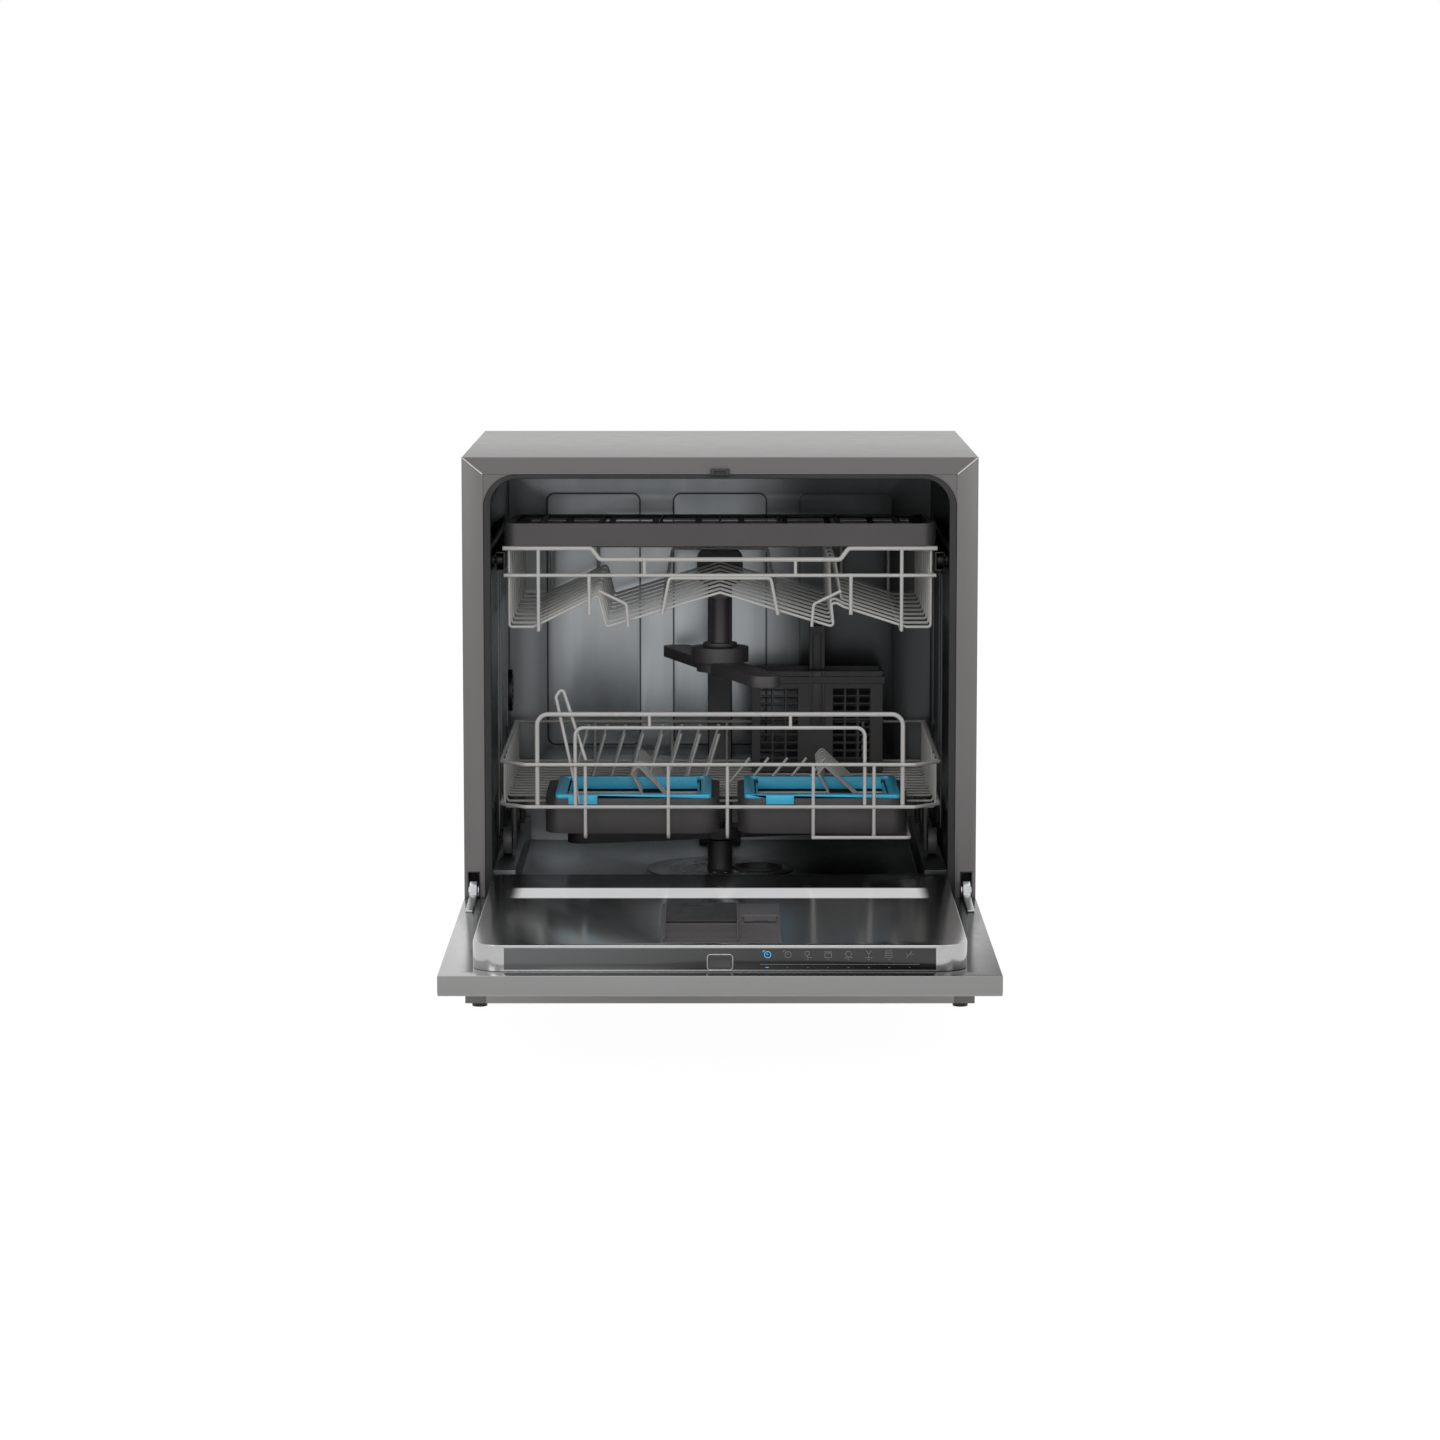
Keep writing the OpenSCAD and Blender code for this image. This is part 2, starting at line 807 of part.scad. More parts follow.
module detergent_lid() {
    low = liner_top + side_gap;
    color(black)
        difference() {
            block([lid_left, front_y - lid_far, low], [lid_right, front_y - lid_near, low + lid_t]);
            block([-32, front_y - lid_near - 24, low + 1.2], [-8, front_y - lid_near - 8, low + 5]);
        }
}

module rinse_flap() {
    low = liner_top + side_gap;
    color(grey)
        difference() {
            union() {
                block([flap_left + side_gap, front_y - flap_far, low], [flap_right - side_gap, front_y - flap_near, low + lid_t]);
                translate([flap_left + side_gap, front_y - flap_near, flap_axis_z]) rotate([0, 90, 0])
                    cylinder(r = flap_barrel_r, h = flap_right - flap_left - 2 * side_gap);
            }
            translate([flap_left - 1, front_y - flap_near, flap_axis_z]) rotate([0, 90, 0])
                cylinder(r = flap_pin_r + 0.06, h = flap_right - flap_left + 2);
            block([flap_left + 9, front_y - flap_far - 1, low - 1], [flap_right - 9, front_y - flap_far + 3, low + 5]);
        }
}

// Hinge arm: an eye on the pin, a raised neck and a foot on the outer panel
module hinge_arm(s) {
    eye_w = slot_w - 2 * boot_t - 2 * cheek_t - 2 * side_gap;
    color(steel)
        difference() {
            union() {
                translate([s * slot_x - eye_w / 2, front_y, hinge_z]) rotate([0, 90, 0])
                    cylinder(r = knuckle_r, h = eye_w);
                across(s * slot_x - eye_w / 2, eye_w) polygon([
                    [front_y + 2, hinge_z - 3],
                    [front_y - 2, hinge_z - 6.5],
                    [front_y - 96, hinge_z - 6.5],
                    [front_y - 96, hinge_z - 4.5],
                    [front_y - 60, hinge_z - 2.6],
                    [front_y - 20.5, hinge_z - 0.9],
                    [front_y - 18, hinge_z + 3],
                    [front_y - 15.5, hinge_z + 9],
                    [front_y - 10, hinge_z + 12.5],
                    [front_y - 4, hinge_z + 9.5],
                    [front_y + 2, hinge_z + 3]
                ]);
            }
            translate([s * slot_x - 10, front_y, hinge_z]) rotate([0, 90, 0])
                cylinder(r = pin_r + run_gap, h = 20);
        }
}

// Upper rack

// One floor wire of the upper rack, seen from the front
function upper_row(peak) = [
    [-upper_half, up_rail_z],
    [-upper_half, up_low_z],
    [-200.7, up_low_z],
    [-131, 444.5],
    [-122, up_low_z],
    [0, 447.5],
    [122, up_low_z],
    [119.5, peak],
    [126, peak],
    [133, 432],
    [200.7, up_low_z],
    [upper_half, up_low_z],
    [upper_half, up_rail_z]
];

function at_y(list, y) = [for (p = list) [p[0], y, p[1]]];

module upper_rack_frame() {
    rim_y = wire_front;
    in_y = wire_front + rim_r + frame_r - weld;
    under = frame_r + floor_r - weld;
    top_pts = [
        [-233, up_rail_z], [-138, up_rail_z], [-129, up_dip_z],
        [129, up_dip_z], [138, up_rail_z], [233, up_rail_z]
    ];
    color(wire) {
        bent_wire(at_y(top_pts, rim_y), rim_r);
        bent_wire(at_y(top_pts, up_back), rim_r);
        for (s = [-1, 1]) {
            rod([s * upper_half, rim_y, up_rail_z], [s * upper_half, up_back, up_rail_z], rim_r);
            rod([s * (upper_half + under), rim_y, up_mid_z], [s * (upper_half + under), up_back, up_mid_z], frame_r);
        }
        for (y = [rim_y, up_back])
            rod([-232, y, up_mid_z], [232, y, up_mid_z], frame_r);
        for (i = [0:up_rows - 1])
            bent_wire(at_y(upper_row(i < 2 ? 436 : 474), wire_front + 4 + up_pitch * i), floor_r);
        for (p = [[-195, up_low_z - under], [195, up_low_z - under], [-62, 428.2 - under], [62, 428.2 - under]])
            rod([p[0], rim_y, p[1]], [p[0], up_back, p[1]], frame_r);
        for (y = [rim_y, up_back])
            for (s = [-1, 1]) {
                rod([s * 195, y, up_rail_z], [s * 195, y, up_low_z - under - 1], frame_r);
                rod([s * 140.5, y, up_mid_z + 2], [s * 140.5, y, 424], frame_r);
                rod([s * 81, y, up_dip_z], [s * 81, y, up_mid_z], frame_r - 0.2);
                rod([s * 62, y, 428.2 - under - 1], [s * 54, y, up_mid_z - 2], frame_r - 0.2);
            }
    }
}

// Rail on the side of the upper rack: a channel that the guide wheels run in
module upper_rail(s) {
    flange = guide_r + rail_gap;
    color(steel)
        difference() {
            union() {
                block([min(s * rail_web, s * rail_edge), wire_front + 2, guide_z - flange - rail_sheet],
                    [max(s * rail_web, s * rail_edge), up_back - 2, guide_z + flange + rail_sheet]);
                for (i = [1, up_rows - 2]) let (y = wire_front + 4 + up_pitch * i)
                    block([min(s * (upper_half + floor_r + 0.2), s * (rail_web + 0.5)), y - 8, guide_z - 8],
                        [max(s * (upper_half + floor_r + 0.2), s * (rail_web + 0.5)), y + 8, guide_z + 8]);
            }
            block([min(s * (rail_web + rail_sheet), s * (rail_edge + 2)), wire_front - 5, guide_z - flange],
                [max(s * (rail_web + rail_sheet), s * (rail_edge + 2)), up_back + 5, guide_z + flange]);
        }
}

// Flat plastic tray that lies on the rim of the upper rack
module cutlery_tray() {
    low = up_rail_z + rim_r + 0.2;
    hw = 232;
    y0 = rack_front;
    y1 = rack_front + rack_d - 4;
    color(grey)
        difference() {
            translate([0, 0, low]) linear_extrude(24) round_rect([-hw, y0], [hw, y1], 16);
            translate([0, 0, low + 2]) linear_extrude(30) round_rect([-hw + 2.5, y0 + 2.5], [hw - 2.5, y1 - 2.5], 13.5);
            for (i = [-4:4])
                for (j = [0:5])
                    block([i * 49 - 21, y0 + 18 + j * 58, low - 1], [i * 49 + 21, y0 + 64 + j * 58, low + 3]);
        }
    color(grey)
        for (i = [-3:3])
            block([i * 66 - 1, y0 + 2, low + 0.5], [i * 66 + 1, y1 - 2, low + 14]);
}

module spray_manifold() {
    color(grey) {
        upright(arm_y - 12, dock_front - 8 - arm_y + 12)
            round_rect([-duct_w / 2, duct_z - duct_h / 2], [duct_w / 2, duct_z + duct_h / 2], 6.5);
        translate([0, dock_front - 8.5, duct_z]) rotate([-90, 0, 0]) cylinder(r = spout_r, h = 17);
        translate([0, arm_y, post_low]) cylinder(r = post_r, h = duct_z - post_low);
        translate([0, arm_y, post_low]) cylinder(r = 19, h = 4);
        translate([0, arm_y, upper_blade_low - 4]) cylinder(r = spindle_r, h = post_low - upper_blade_low + 6);
        translate([0, arm_y, upper_blade_low - 5]) cylinder(r = cap_r, h = 4);
    }
}

// Blade of a spray arm with its jets, pointing along X
module blade(reach, low, ring) {
    tip = 17;
    difference() {
        union() {
            translate([0, 0, low]) linear_extrude(blade_t) {
                circle(r = blade_w / 2 + 4);
                translate([-reach + tip, -tip]) square([2 * (reach - tip), 2 * tip]);
                for (s = [-1, 1])
                    translate([s * (reach - tip), 0]) circle(r = tip);
            }
            if (ring)
                translate([0, 0, ring_low - 3]) cylinder(r = ring_r, h = post_low - 0.6 - ring_low + 3);
        }
        translate([0, 0, low - 1]) cylinder(r = spindle_r + run_gap, h = 60);
        for (s = [-1, 1])
            for (i = [0:4])
                translate([s * (45 + 27 * i) - 1.5, -7 + 3 * i, low + blade_t - 2]) cube([3, 9, 4]);
    }
}

module upper_spray_arm() {
    color(grey)
        translate([0, arm_y, 0]) rotate([0, 0, -72]) blade(upper_reach, upper_blade_low, true);
}

module lower_spray_arm() {
    color(grey)
        translate([0, arm_y, 0]) rotate([0, 0, 15]) blade(lower_reach, lower_blade_low, false);
}

// Lower rack

// Y position of a point that lies so far out from the frame when the rack is pulled out
function pulled(d) = lower_shift - d;

// One floor wire of the lower rack with two raised loops, seen from the front
hump_pts = [
    [-lower_half, lo_rim_z], [-lower_half, lo_floor_z], [-85.3, lo_floor_z], [-98, 233], [-91, hump_z],
    [-59.6, lo_floor_z], [122.4, lo_floor_z], [109, 233], [116, hump_z], [152, lo_floor_z],
    [lower_half, lo_floor_z], [lower_half, lo_rim_z]
];
flat_pts = [
    [-lower_half, lo_rim_z], [-lower_half, lo_floor_z], [lower_half, lo_floor_z], [lower_half, lo_rim_z]
];

// Rail around the front and the sides, with angled front corners
module lower_rail(z, r) {
    out = lower_half + r + floor_r - weld;
    pts = [
        [-out, lo_back, z], [-out, wire_front + 25.5, z], [-210, wire_front, z],
        [210, wire_front, z], [out, wire_front + 25.5, z], [out, lo_back, z]
    ];
    bent_wire(pts, r);
    rod([-out - 2, lo_back - 0.6, z], [out + 2, lo_back - 0.6, z], r - 0.2);
}

module lower_rack_frame() {
    under = frame_r + floor_r - weld;
    leg_y = wire_front + frame_r + rim_r - weld;
    inner_y = wire_front + 2 * frame_r - weld;
    clip_y = leg_y + rim_r + frame_r - 0.2 - weld;
    color(wire) {
        lower_rail(lo_rim_z, frame_r);
        lower_rail(lo_rail_z, frame_r);
        bent_wire([
            [-197.3, leg_y, lo_rail_z - 1.7], [-197.3, leg_y, lo_top_z],
            [197.3, leg_y, lo_top_z], [197.3, leg_y, lo_rail_z - 1.7]
        ], rim_r, frame_bend);
        bent_wire([
            [-156.3, inner_y, lo_rail_z - 1.3], [-156.3, inner_y, lo_inner_z],
            [156.3, inner_y, lo_inner_z], [156.3, inner_y, lo_rail_z - 1.3]
        ], frame_r, frame_bend - 3);
        for (x = [-76, 76])
            rod([x, inner_y, lo_inner_z], [x, inner_y, lo_top_z], frame_r - 0.2);
        for (d = hump_rows)
            bent_wire(at_y(hump_pts, pulled(d)), floor_r);
        for (d = flat_rows)
            bent_wire(at_y(flat_pts, pulled(d)), floor_r);
        for (x = lo_posts) {
            bent_wire([
                [x, wire_front + 0.8, lo_rim_z + 0.4], [x, wire_front + 0.8, lo_base_z],
                [x, pulled(203), lo_base_z], [x, pulled(190), lo_floor_z - under], [x, lo_back, lo_floor_z - under]
            ], frame_r - 0.1);
            rod([x, lo_back - 0.8, lo_rim_z], [x, lo_back - 0.8, lo_floor_z - under - 1], frame_r - 0.2);
        }
        for (i = [0:7]) {
            x = -168.4 + 21.2 * i;
            for (d = [hump_rows[2], hump_rows[6]])
                rod([x, pulled(d) + 0.7, lo_floor_z - 1], [x + 19, pulled(d) + 0.7, 272], floor_r + 0.2);
        }
        for (i = [0:4])
            rod([3.3 + 21.2 * i, pulled(hump_rows[2]) - 0.7, lo_floor_z - 1],
                [33.3 + 21.2 * i, pulled(hump_rows[2]) - 0.7, 245], floor_r + 0.2);
        bent_wire([
            [-152, clip_y, lo_rail_z + 3], [-177, clip_y, 334],
            [-170, clip_y, 345], [-145, clip_y, lo_rim_z + 4]
        ], frame_r - 0.2);
    }
}

// Plates that carry the lower wheels, each with an axle that points outward
module wheel_brackets() {
    top = lo_floor_z - floor_r + 0.1;
    color(grey)
        for (s = [-1, 1])
            for (d = wheel_rows) {
                translate([s * (wheel_in - 3), pulled(d), 0]) {
                    block([-1.9, -19, wheel_z - 6], [1.9, 19, top]);
                    translate([0, 0, wheel_z]) rotate([0, 90, 0])
                        translate([0, 0, -1.9]) cylinder(r = 8, h = 3.8);
                    translate([0, 0, wheel_z]) rotate([0, s * 90, 0])
                        cylinder(r = pin_r, h = wheel_w + 4);
                }
            }
}

module rack_wheel(s, d) {
    color(grey)
        translate([s * wheel_in, pulled(d), wheel_z]) rotate([0, s * 90, 0])
            difference() {
                cylinder(r = wheel_r, h = wheel_w);
                translate([0, 0, -1]) cylinder(r = pin_r + run_gap, h = wheel_w + 2);
                translate([0, 0, wheel_w - 2])
                    difference() {
                        cylinder(r = wheel_r - 3, h = 3);
                        translate([0, 0, -1]) cylinder(r = 6, h = 5);
                    }
            }
}

// Open-bottomed throat and deck of one accessory box
module holder_box(i) {
    x0 = box_left[i];
    x1 = box_right[i];
    y0 = pulled(box_near);
    y1 = pulled(box_far);
    slots = [flat_rows[0], flat_rows[1], hump_rows[0], hump_rows[1]];
    difference() {
        translate([0, 0, box_low]) linear_extrude(box_high - box_low)
            round_rect([x0, y0], [x1, y1], box_r);
        translate([0, 0, box_low + box_t]) linear_extrude(box_high - box_low - 2 * box_t)
            round_rect([x0 + box_t, y0 + box_t], [x1 - box_t, y1 - box_t], box_r - box_t);
        block([x0 + 19, y0 + 12, box_high - 10], [x1 - 20, pulled(225), box_high + 5]);
        for (d = slots)
            block([x0 - 5, pulled(d) - 3, lo_floor_z - 4], [x1 + 5, pulled(d) + 3, lo_floor_z + 4]);
    }
}

module holder_boxes() {
    color(grey) {
        holder_box(0);
        holder_box(1);
    }
}

// Funnel-shaped frame on the deck of one accessory box, with a tab over its front
module holder_collar(x0, x1, tab0, tab1) {
    y0 = pulled(collar_near);
    y1 = pulled(collar_far);
    z0 = box_high;
    difference() {
        union() {
            translate([0, 0, z0]) linear_extrude(collar_z - z0) round_rect([x0, y0], [x1, y1], 5);
            block([x0 + 13, y0 + 12, z0 - 9.5], [x1 - 13, pulled(226), z0 + 1]);
            block([tab0, y0 - 4.2, z0 - 6], [tab1, y0 - 2.3, collar_z]);
            block([tab0, y0 - 4.2, z0 + 0.5], [tab1, y0 + 6, collar_z]);
        }
        block([x0 + 15, y0 + 14, z0 - 12], [x1 - 15, pulled(228), collar_z + 1]);
        for (s = [0, 1])
            translate([s ? x1 - 15 : x0 + 15, y0 + 8, collar_z]) rotate([-90, 0, 0])
                linear_extrude(collar_near - collar_far - 11)
                    polygon(s ? [[-1, -1], [8, -1], [8, 0], [-1, 8]] : [[1, -1], [-8, -1], [-8, 0], [1, 8]]);
    }
}

module holder_collars() {
    color(blue) {
        holder_collar(box_left[0] + 11.2, box_right[0] - 9, box_left[0] + 25.7, box_left[0] + 56.7);
        holder_collar(box_left[1] + 7, box_right[1] - 8, box_left[1] + 30.5, box_left[1] + 60.5);
    }
}

module cutlery_basket() {
    y0 = pulled(basket_near);
    y1 = pulled(basket_far);
    w = 2.2;
    color(grey)
        difference() {
            union() {
                block([basket_left, y0, basket_low], [basket_right, y1, basket_high]);
                block([basket_left - 2, y0 - 2, basket_high - 14], [basket_right + 2, y1 + 1, basket_high - 6]);
            }
            for (s = [-1, 1])
                block([s < 0 ? basket_left + w : handle_x + handle_w / 2, y0 + w, basket_low + w],
                    [s < 0 ? handle_x - handle_w / 2 : basket_right - w, y1 - w, basket_high + 1]);
            for (x0 = [basket_left + 10, handle_x + 18])
                for (i = [0:2])
                    for (k = [0:9])
                        block([x0 + 15 * i, y0 - 3, basket_low + 8 + 9 * k],
                            [x0 + 13 + 15 * i, y1 + 3, basket_low + 15.5 + 9 * k]);
        }
    color(grey)
        difference() {
            union() {
                block([handle_x - handle_w / 2, y0 + 22, basket_low + 2], [handle_x + handle_w / 2, y1 - 22, handle_high - 12]);
                for (s = [-1, 1])
                    block([handle_x + s * (handle_w / 2 - 1.5) - 1.5, y0 + 22, handle_high - 14],
                        [handle_x + s * (handle_w / 2 - 1.5) + 1.5, y1 - 22, handle_high]);
            }
            block([handle_x - 5, y0 + 18, basket_high - 10], [handle_x + 5, y1 - 18, handle_high - 20]);
        }
}

top_panel();
side_panel(-1);  // side_panel_left
side_panel(1);  // side_panel_right
back_panel();
base_tray();
levelling_feet();
front_frame();
tub();
drain_well();
tub_gasket();
threshold_strip();
latch_strike();
hinge_boot(-1);  // hinge_boot_left
hinge_boot(1);  // hinge_boot_right
hinge_bracket(-1);  // hinge_bracket_left
hinge_bracket(1);  // hinge_bracket_right
feed_pipe();
feed_dock();
filter_plate();
filter_cup();
arm_spindle();
sump_body();
wash_pump();
drain_pump();
water_inlet();
drain_spigot();
cord_gland();
guide_axles();
vent_cover();
door_panel();
door_liner();
control_strip();
latch_insert();
dispenser_body();
hinge_arm(-1);  // hinge_arm_left
hinge_arm(1);  // hinge_arm_right
detergent_lid();
rinse_flap();
upper_rack_frame();
upper_rail(-1);  // upper_rail_left
upper_rail(1);  // upper_rail_right
cutlery_tray();
spray_manifold();
upper_spray_arm();
guide_wheel(-1, guide_y[0]);  // guide_wheel_front_left
guide_wheel(1, guide_y[0]);  // guide_wheel_front_right
guide_wheel(-1, guide_y[1]);  // guide_wheel_rear_left
guide_wheel(1, guide_y[1]);  // guide_wheel_rear_right
lower_rack_frame();
wheel_brackets();
holder_boxes();
holder_collars();
cutlery_basket();
rack_wheel(-1, wheel_rows[0]);  // rack_wheel_front_left
rack_wheel(1, wheel_rows[0]);  // rack_wheel_front_right
rack_wheel(-1, wheel_rows[1]);  // rack_wheel_rear_left
rack_wheel(1, wheel_rows[1]);  // rack_wheel_rear_right
lower_spray_arm();
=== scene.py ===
"""Finish of a countertop dishwasher: painted cabinet, steel tub and door, coated wire racks."""

import math

import bmesh
import bpy
from mathutils import Matrix, Vector


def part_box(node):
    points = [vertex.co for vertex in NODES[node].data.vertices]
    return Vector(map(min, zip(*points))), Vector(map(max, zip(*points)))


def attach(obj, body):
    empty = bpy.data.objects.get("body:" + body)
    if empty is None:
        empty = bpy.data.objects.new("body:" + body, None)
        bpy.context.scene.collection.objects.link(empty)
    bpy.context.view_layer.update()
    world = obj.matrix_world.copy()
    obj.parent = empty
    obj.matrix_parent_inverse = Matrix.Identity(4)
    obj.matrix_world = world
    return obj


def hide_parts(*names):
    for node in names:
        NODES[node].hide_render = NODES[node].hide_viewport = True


bl_info = {
    "name": "Countertop dishwasher",
    "version": (1, 0, 0),
    "blender": (4, 5, 0),
    "location": "3D View > Sidebar > Dishwasher",
    "description": "Gives a countertop dishwasher its panels, wires, plastics and steel",
    "category": "Object",
}

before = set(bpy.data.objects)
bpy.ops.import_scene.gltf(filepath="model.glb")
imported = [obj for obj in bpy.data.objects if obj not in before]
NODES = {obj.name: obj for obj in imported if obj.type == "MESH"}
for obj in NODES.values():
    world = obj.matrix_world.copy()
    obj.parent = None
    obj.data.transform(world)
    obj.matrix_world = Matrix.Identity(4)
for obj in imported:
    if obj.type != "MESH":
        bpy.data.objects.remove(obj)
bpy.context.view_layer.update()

MM = 0.001
# Front plane of the cabinet, in mm
FRONT = -12.5
# Front and rear wires of both racks at home, and where the lower rack's pulled-out distances start
RACK_FRONT = FRONT + 28.0
RACK_BACK = RACK_FRONT + 375.0
PULLED = RACK_FRONT + 387.5
# How far in front of the front plane the symbols and the latch's rim lie
STRIP_FACE = 443.2


# Sizes and colours that a user would change


def paint(name, description, colour):
    """A colour property with its default."""
    return bpy.props.FloatVectorProperty(
        name=name, description=description, default=colour, subtype="COLOR", min=0.0, max=1.0
    )


class DishwasherFinish(bpy.types.PropertyGroup):
    """Colours of the painted, steel, plastic and wire parts."""

    cabinet: paint("Cabinet", "Paint of the cabinet's panels", (0.153, 0.147, 0.145))
    door: paint("Door", "Paint of the outer door panel", (0.270, 0.268, 0.266))
    tub: paint("Tub", "Steel of the tub", (0.430, 0.455, 0.470))
    liner: paint("Liner", "Steel of the door's inner face", (0.480, 0.480, 0.480))
    wire: paint("Wires", "Coating of the racks' wires", (0.540, 0.530, 0.510))
    plastic: paint("Plastic", "Dark grey plastic parts", (0.060, 0.055, 0.058))
    black: paint("Black", "Black plastic and rubber", (0.010, 0.010, 0.011))
    collar: paint("Collars", "Cyan collars of the accessory boxes", (0.060, 0.560, 0.860))


class DishwasherStudio(bpy.types.PropertyGroup):
    """Camera and lamps."""

    camera_height: bpy.props.FloatProperty(
        name="Camera height",
        description="Height of the camera above the floor",
        default=0.899,
        unit="LENGTH",
    )
    camera_distance: bpy.props.FloatProperty(
        name="Camera distance",
        description="Distance of the camera in front of the cabinet",
        default=4.6755,
        unit="LENGTH",
    )
    camera_pitch: bpy.props.FloatProperty(
        name="Camera pitch",
        description="How far the camera looks down",
        default=math.radians(7.14),
        unit="ROTATION",
    )
    camera_lens: bpy.props.FloatProperty(
        name="Lens", description="Focal length of the camera in mm", default=110.0, min=10.0, max=300.0
    )
    lamp_power: bpy.props.FloatProperty(
        name="Lamp power", description="Power of the large soft lamp overhead", default=20.0, unit="POWER"
    )
    room_light: bpy.props.FloatProperty(
        name="Room light",
        description="Strength of the even light of the room",
        default=0.42,
        min=0.0,
        max=2.0,
    )


# Shader helpers


class Value:
    """One output of a material's node, with arithmetic that adds Math nodes."""

    def __init__(self, tree, socket):
        self.tree, self.socket = tree, socket

    def _math(self, operation, *terms):
        return add_node(self.tree, "ShaderNodeMath", {"operation": operation}, dict(enumerate(terms)))

    def __add__(self, other):
        return self._math("ADD", self, other)

    def __radd__(self, other):
        return self._math("ADD", other, self)

    def __sub__(self, other):
        return self._math("SUBTRACT", self, other)

    def __rsub__(self, other):
        return self._math("SUBTRACT", other, self)

    def __mul__(self, other):
        return self._math("MULTIPLY", self, other)

    def __rmul__(self, other):
        return self._math("MULTIPLY", other, self)

    def __truediv__(self, other):
        return self._math("DIVIDE", self, other)

    def __rtruediv__(self, other):
        return self._math("DIVIDE", other, self)

    def at_least(self, other):
        return self._math("MAXIMUM", self, other)

    def at_most(self, other):
        return self._math("MINIMUM", self, other)

    def size(self):
        return self._math("ABSOLUTE", self)

    def nearest(self):
        return self._math("ROUND", self)

    def root(self):
        return self._math("SQRT", self)

    def smooth(self, low, high):
        """0 below low, 1 above high and a soft step between."""
        return add_node(
            self.tree,
            "ShaderNodeMapRange",
            {"interpolation_type": "SMOOTHSTEP"},
            {0: self, 1: low, 2: high, 3: 0.0, 4: 1.0},
        )


def add_node(tree, kind, settings=None, inputs=None, output=0):
    """Adds a node, makes its settings, fills its sockets and returns one output as a Value."""
    node = tree.nodes.new(kind)
    for key, setting in (settings or {}).items():
        setattr(node, key, setting)
    for key, given in (inputs or {}).items():
        if isinstance(given, Value):
            tree.links.new(given.socket, node.inputs[key])
        else:
            node.inputs[key].default_value = given
    return Value(tree, node.outputs[output])


def scaled_place(tree, scale):
    """Object coordinates, stretched by a scale along each axis."""
    place = add_node(tree, "ShaderNodeTexCoord", output=3)
    return add_node(tree, "ShaderNodeMapping", {}, {0: place, 3: scale})


def speckle(tree, scale, detail=3.0, roughness=0.5, stretch=(1, 1, 1)):
    """Noise from 0 to 1 on Object coordinates."""
    return add_node(
        tree,
        "ShaderNodeTexNoise",
        {},
        {"Vector": scaled_place(tree, stretch), "Scale": scale, "Detail": detail, "Roughness": roughness},
    )


def shade(tree, mask, dark, light):
    """Colour that runs from dark to light with a mask."""
    return add_node(
        tree,
        "ShaderNodeMix",
        {"data_type": "RGBA"},
        {0: mask, 6: (*dark, 1.0), 7: (*light, 1.0)},
        output=2,
    )


def shown(tree, surface, kind="ShaderNodeOutputMaterial"):
    """Links a shader to the tree's output."""
    tree.links.new(surface.socket, tree.nodes.new(kind).inputs[0])


def finish(name, colour, rough, relief=None, **sockets):
    """A Principled material. What is given as a function of the tree varies over the surface."""
    material = bpy.data.materials.new(name)
    material.use_nodes = True
    tree = material.node_tree
    tree.nodes.clear()
    inputs = {"Base Color": colour(tree) if callable(colour) else (*colour, 1.0)}
    inputs["Roughness"] = rough(tree) if callable(rough) else rough
    if relief:
        height, strength, distance = relief(tree)
        inputs["Normal"] = add_node(
            tree, "ShaderNodeBump", {}, {"Height": height, "Strength": strength, "Distance": distance}
        )
    for key, value in sockets.items():
        inputs[key.replace("_", " ")] = value(tree) if callable(value) else value
    shown(tree, add_node(tree, "ShaderNodeBsdfPrincipled", {}, inputs))
    return material


def axes(tree):
    """X, Y and Z of the Object coordinates."""
    split = tree.nodes.new("ShaderNodeSeparateXYZ")
    tree.links.new(add_node(tree, "ShaderNodeTexCoord", output=3).socket, split.inputs[0])
    return [Value(tree, socket) for socket in split.outputs]


def seen_rays(tree):
    """1 for the rays that see the background directly, by reflection or through glass."""
    rays = tree.nodes.new("ShaderNodeLightPath").outputs
    seen = [Value(tree, rays[name]) for name in ("Is Camera Ray", "Is Glossy Ray", "Is Transmission Ray")]
    return seen[0].at_least(seen[1]).at_least(seen[2])


def tinted(colour, factor):
    """A colour made lighter or darker."""
    return tuple(min(1.0, c * factor) for c in colour)


def painted_sheet(name, colour):
    """Satin metallic paint: slight cloudiness, fine flakes and orange peel."""
    colour = tuple(colour)

    def tone(tree):
        cloud = speckle(tree, 9.0, 2.0)
        flake = speckle(tree, 2600.0, 1.0)
        return shade(tree, cloud * 0.6 + flake * 0.4, tinted(colour, 0.93), tinted(colour, 1.08))

    return finish(
        name,
        tone,
        lambda tree: 0.33 + speckle(tree, 40.0, 3.0) * 0.10,
        lambda tree: (speckle(tree, 700.0, 2.0), 0.08, 0.0004),
        Metallic=0.35,
        Coat_Weight=0.15,
        Coat_Roughness=0.25,
    )


def brushed_steel(name, colour, stretch, rough):
    """Stainless sheet with a fine grain along one axis and faint water marks."""
    colour = tuple(colour)

    def tone(tree):
        grain = speckle(tree, 60.0, 4.0, 0.6, stretch)
        marks = speckle(tree, 14.0, 3.0)
        return shade(tree, grain * 0.5 + marks * 0.5, tinted(colour, 0.86), tinted(colour, 1.14))

    return finish(
        name,
        tone,
        lambda tree: rough + speckle(tree, 80.0, 4.0, 0.6, stretch) * 0.14 + speckle(tree, 11.0, 2.0) * 0.06,
        lambda tree: (speckle(tree, 90.0, 3.0, 0.6, stretch), 0.07, 0.0003),
        Metallic=1.0,
    )


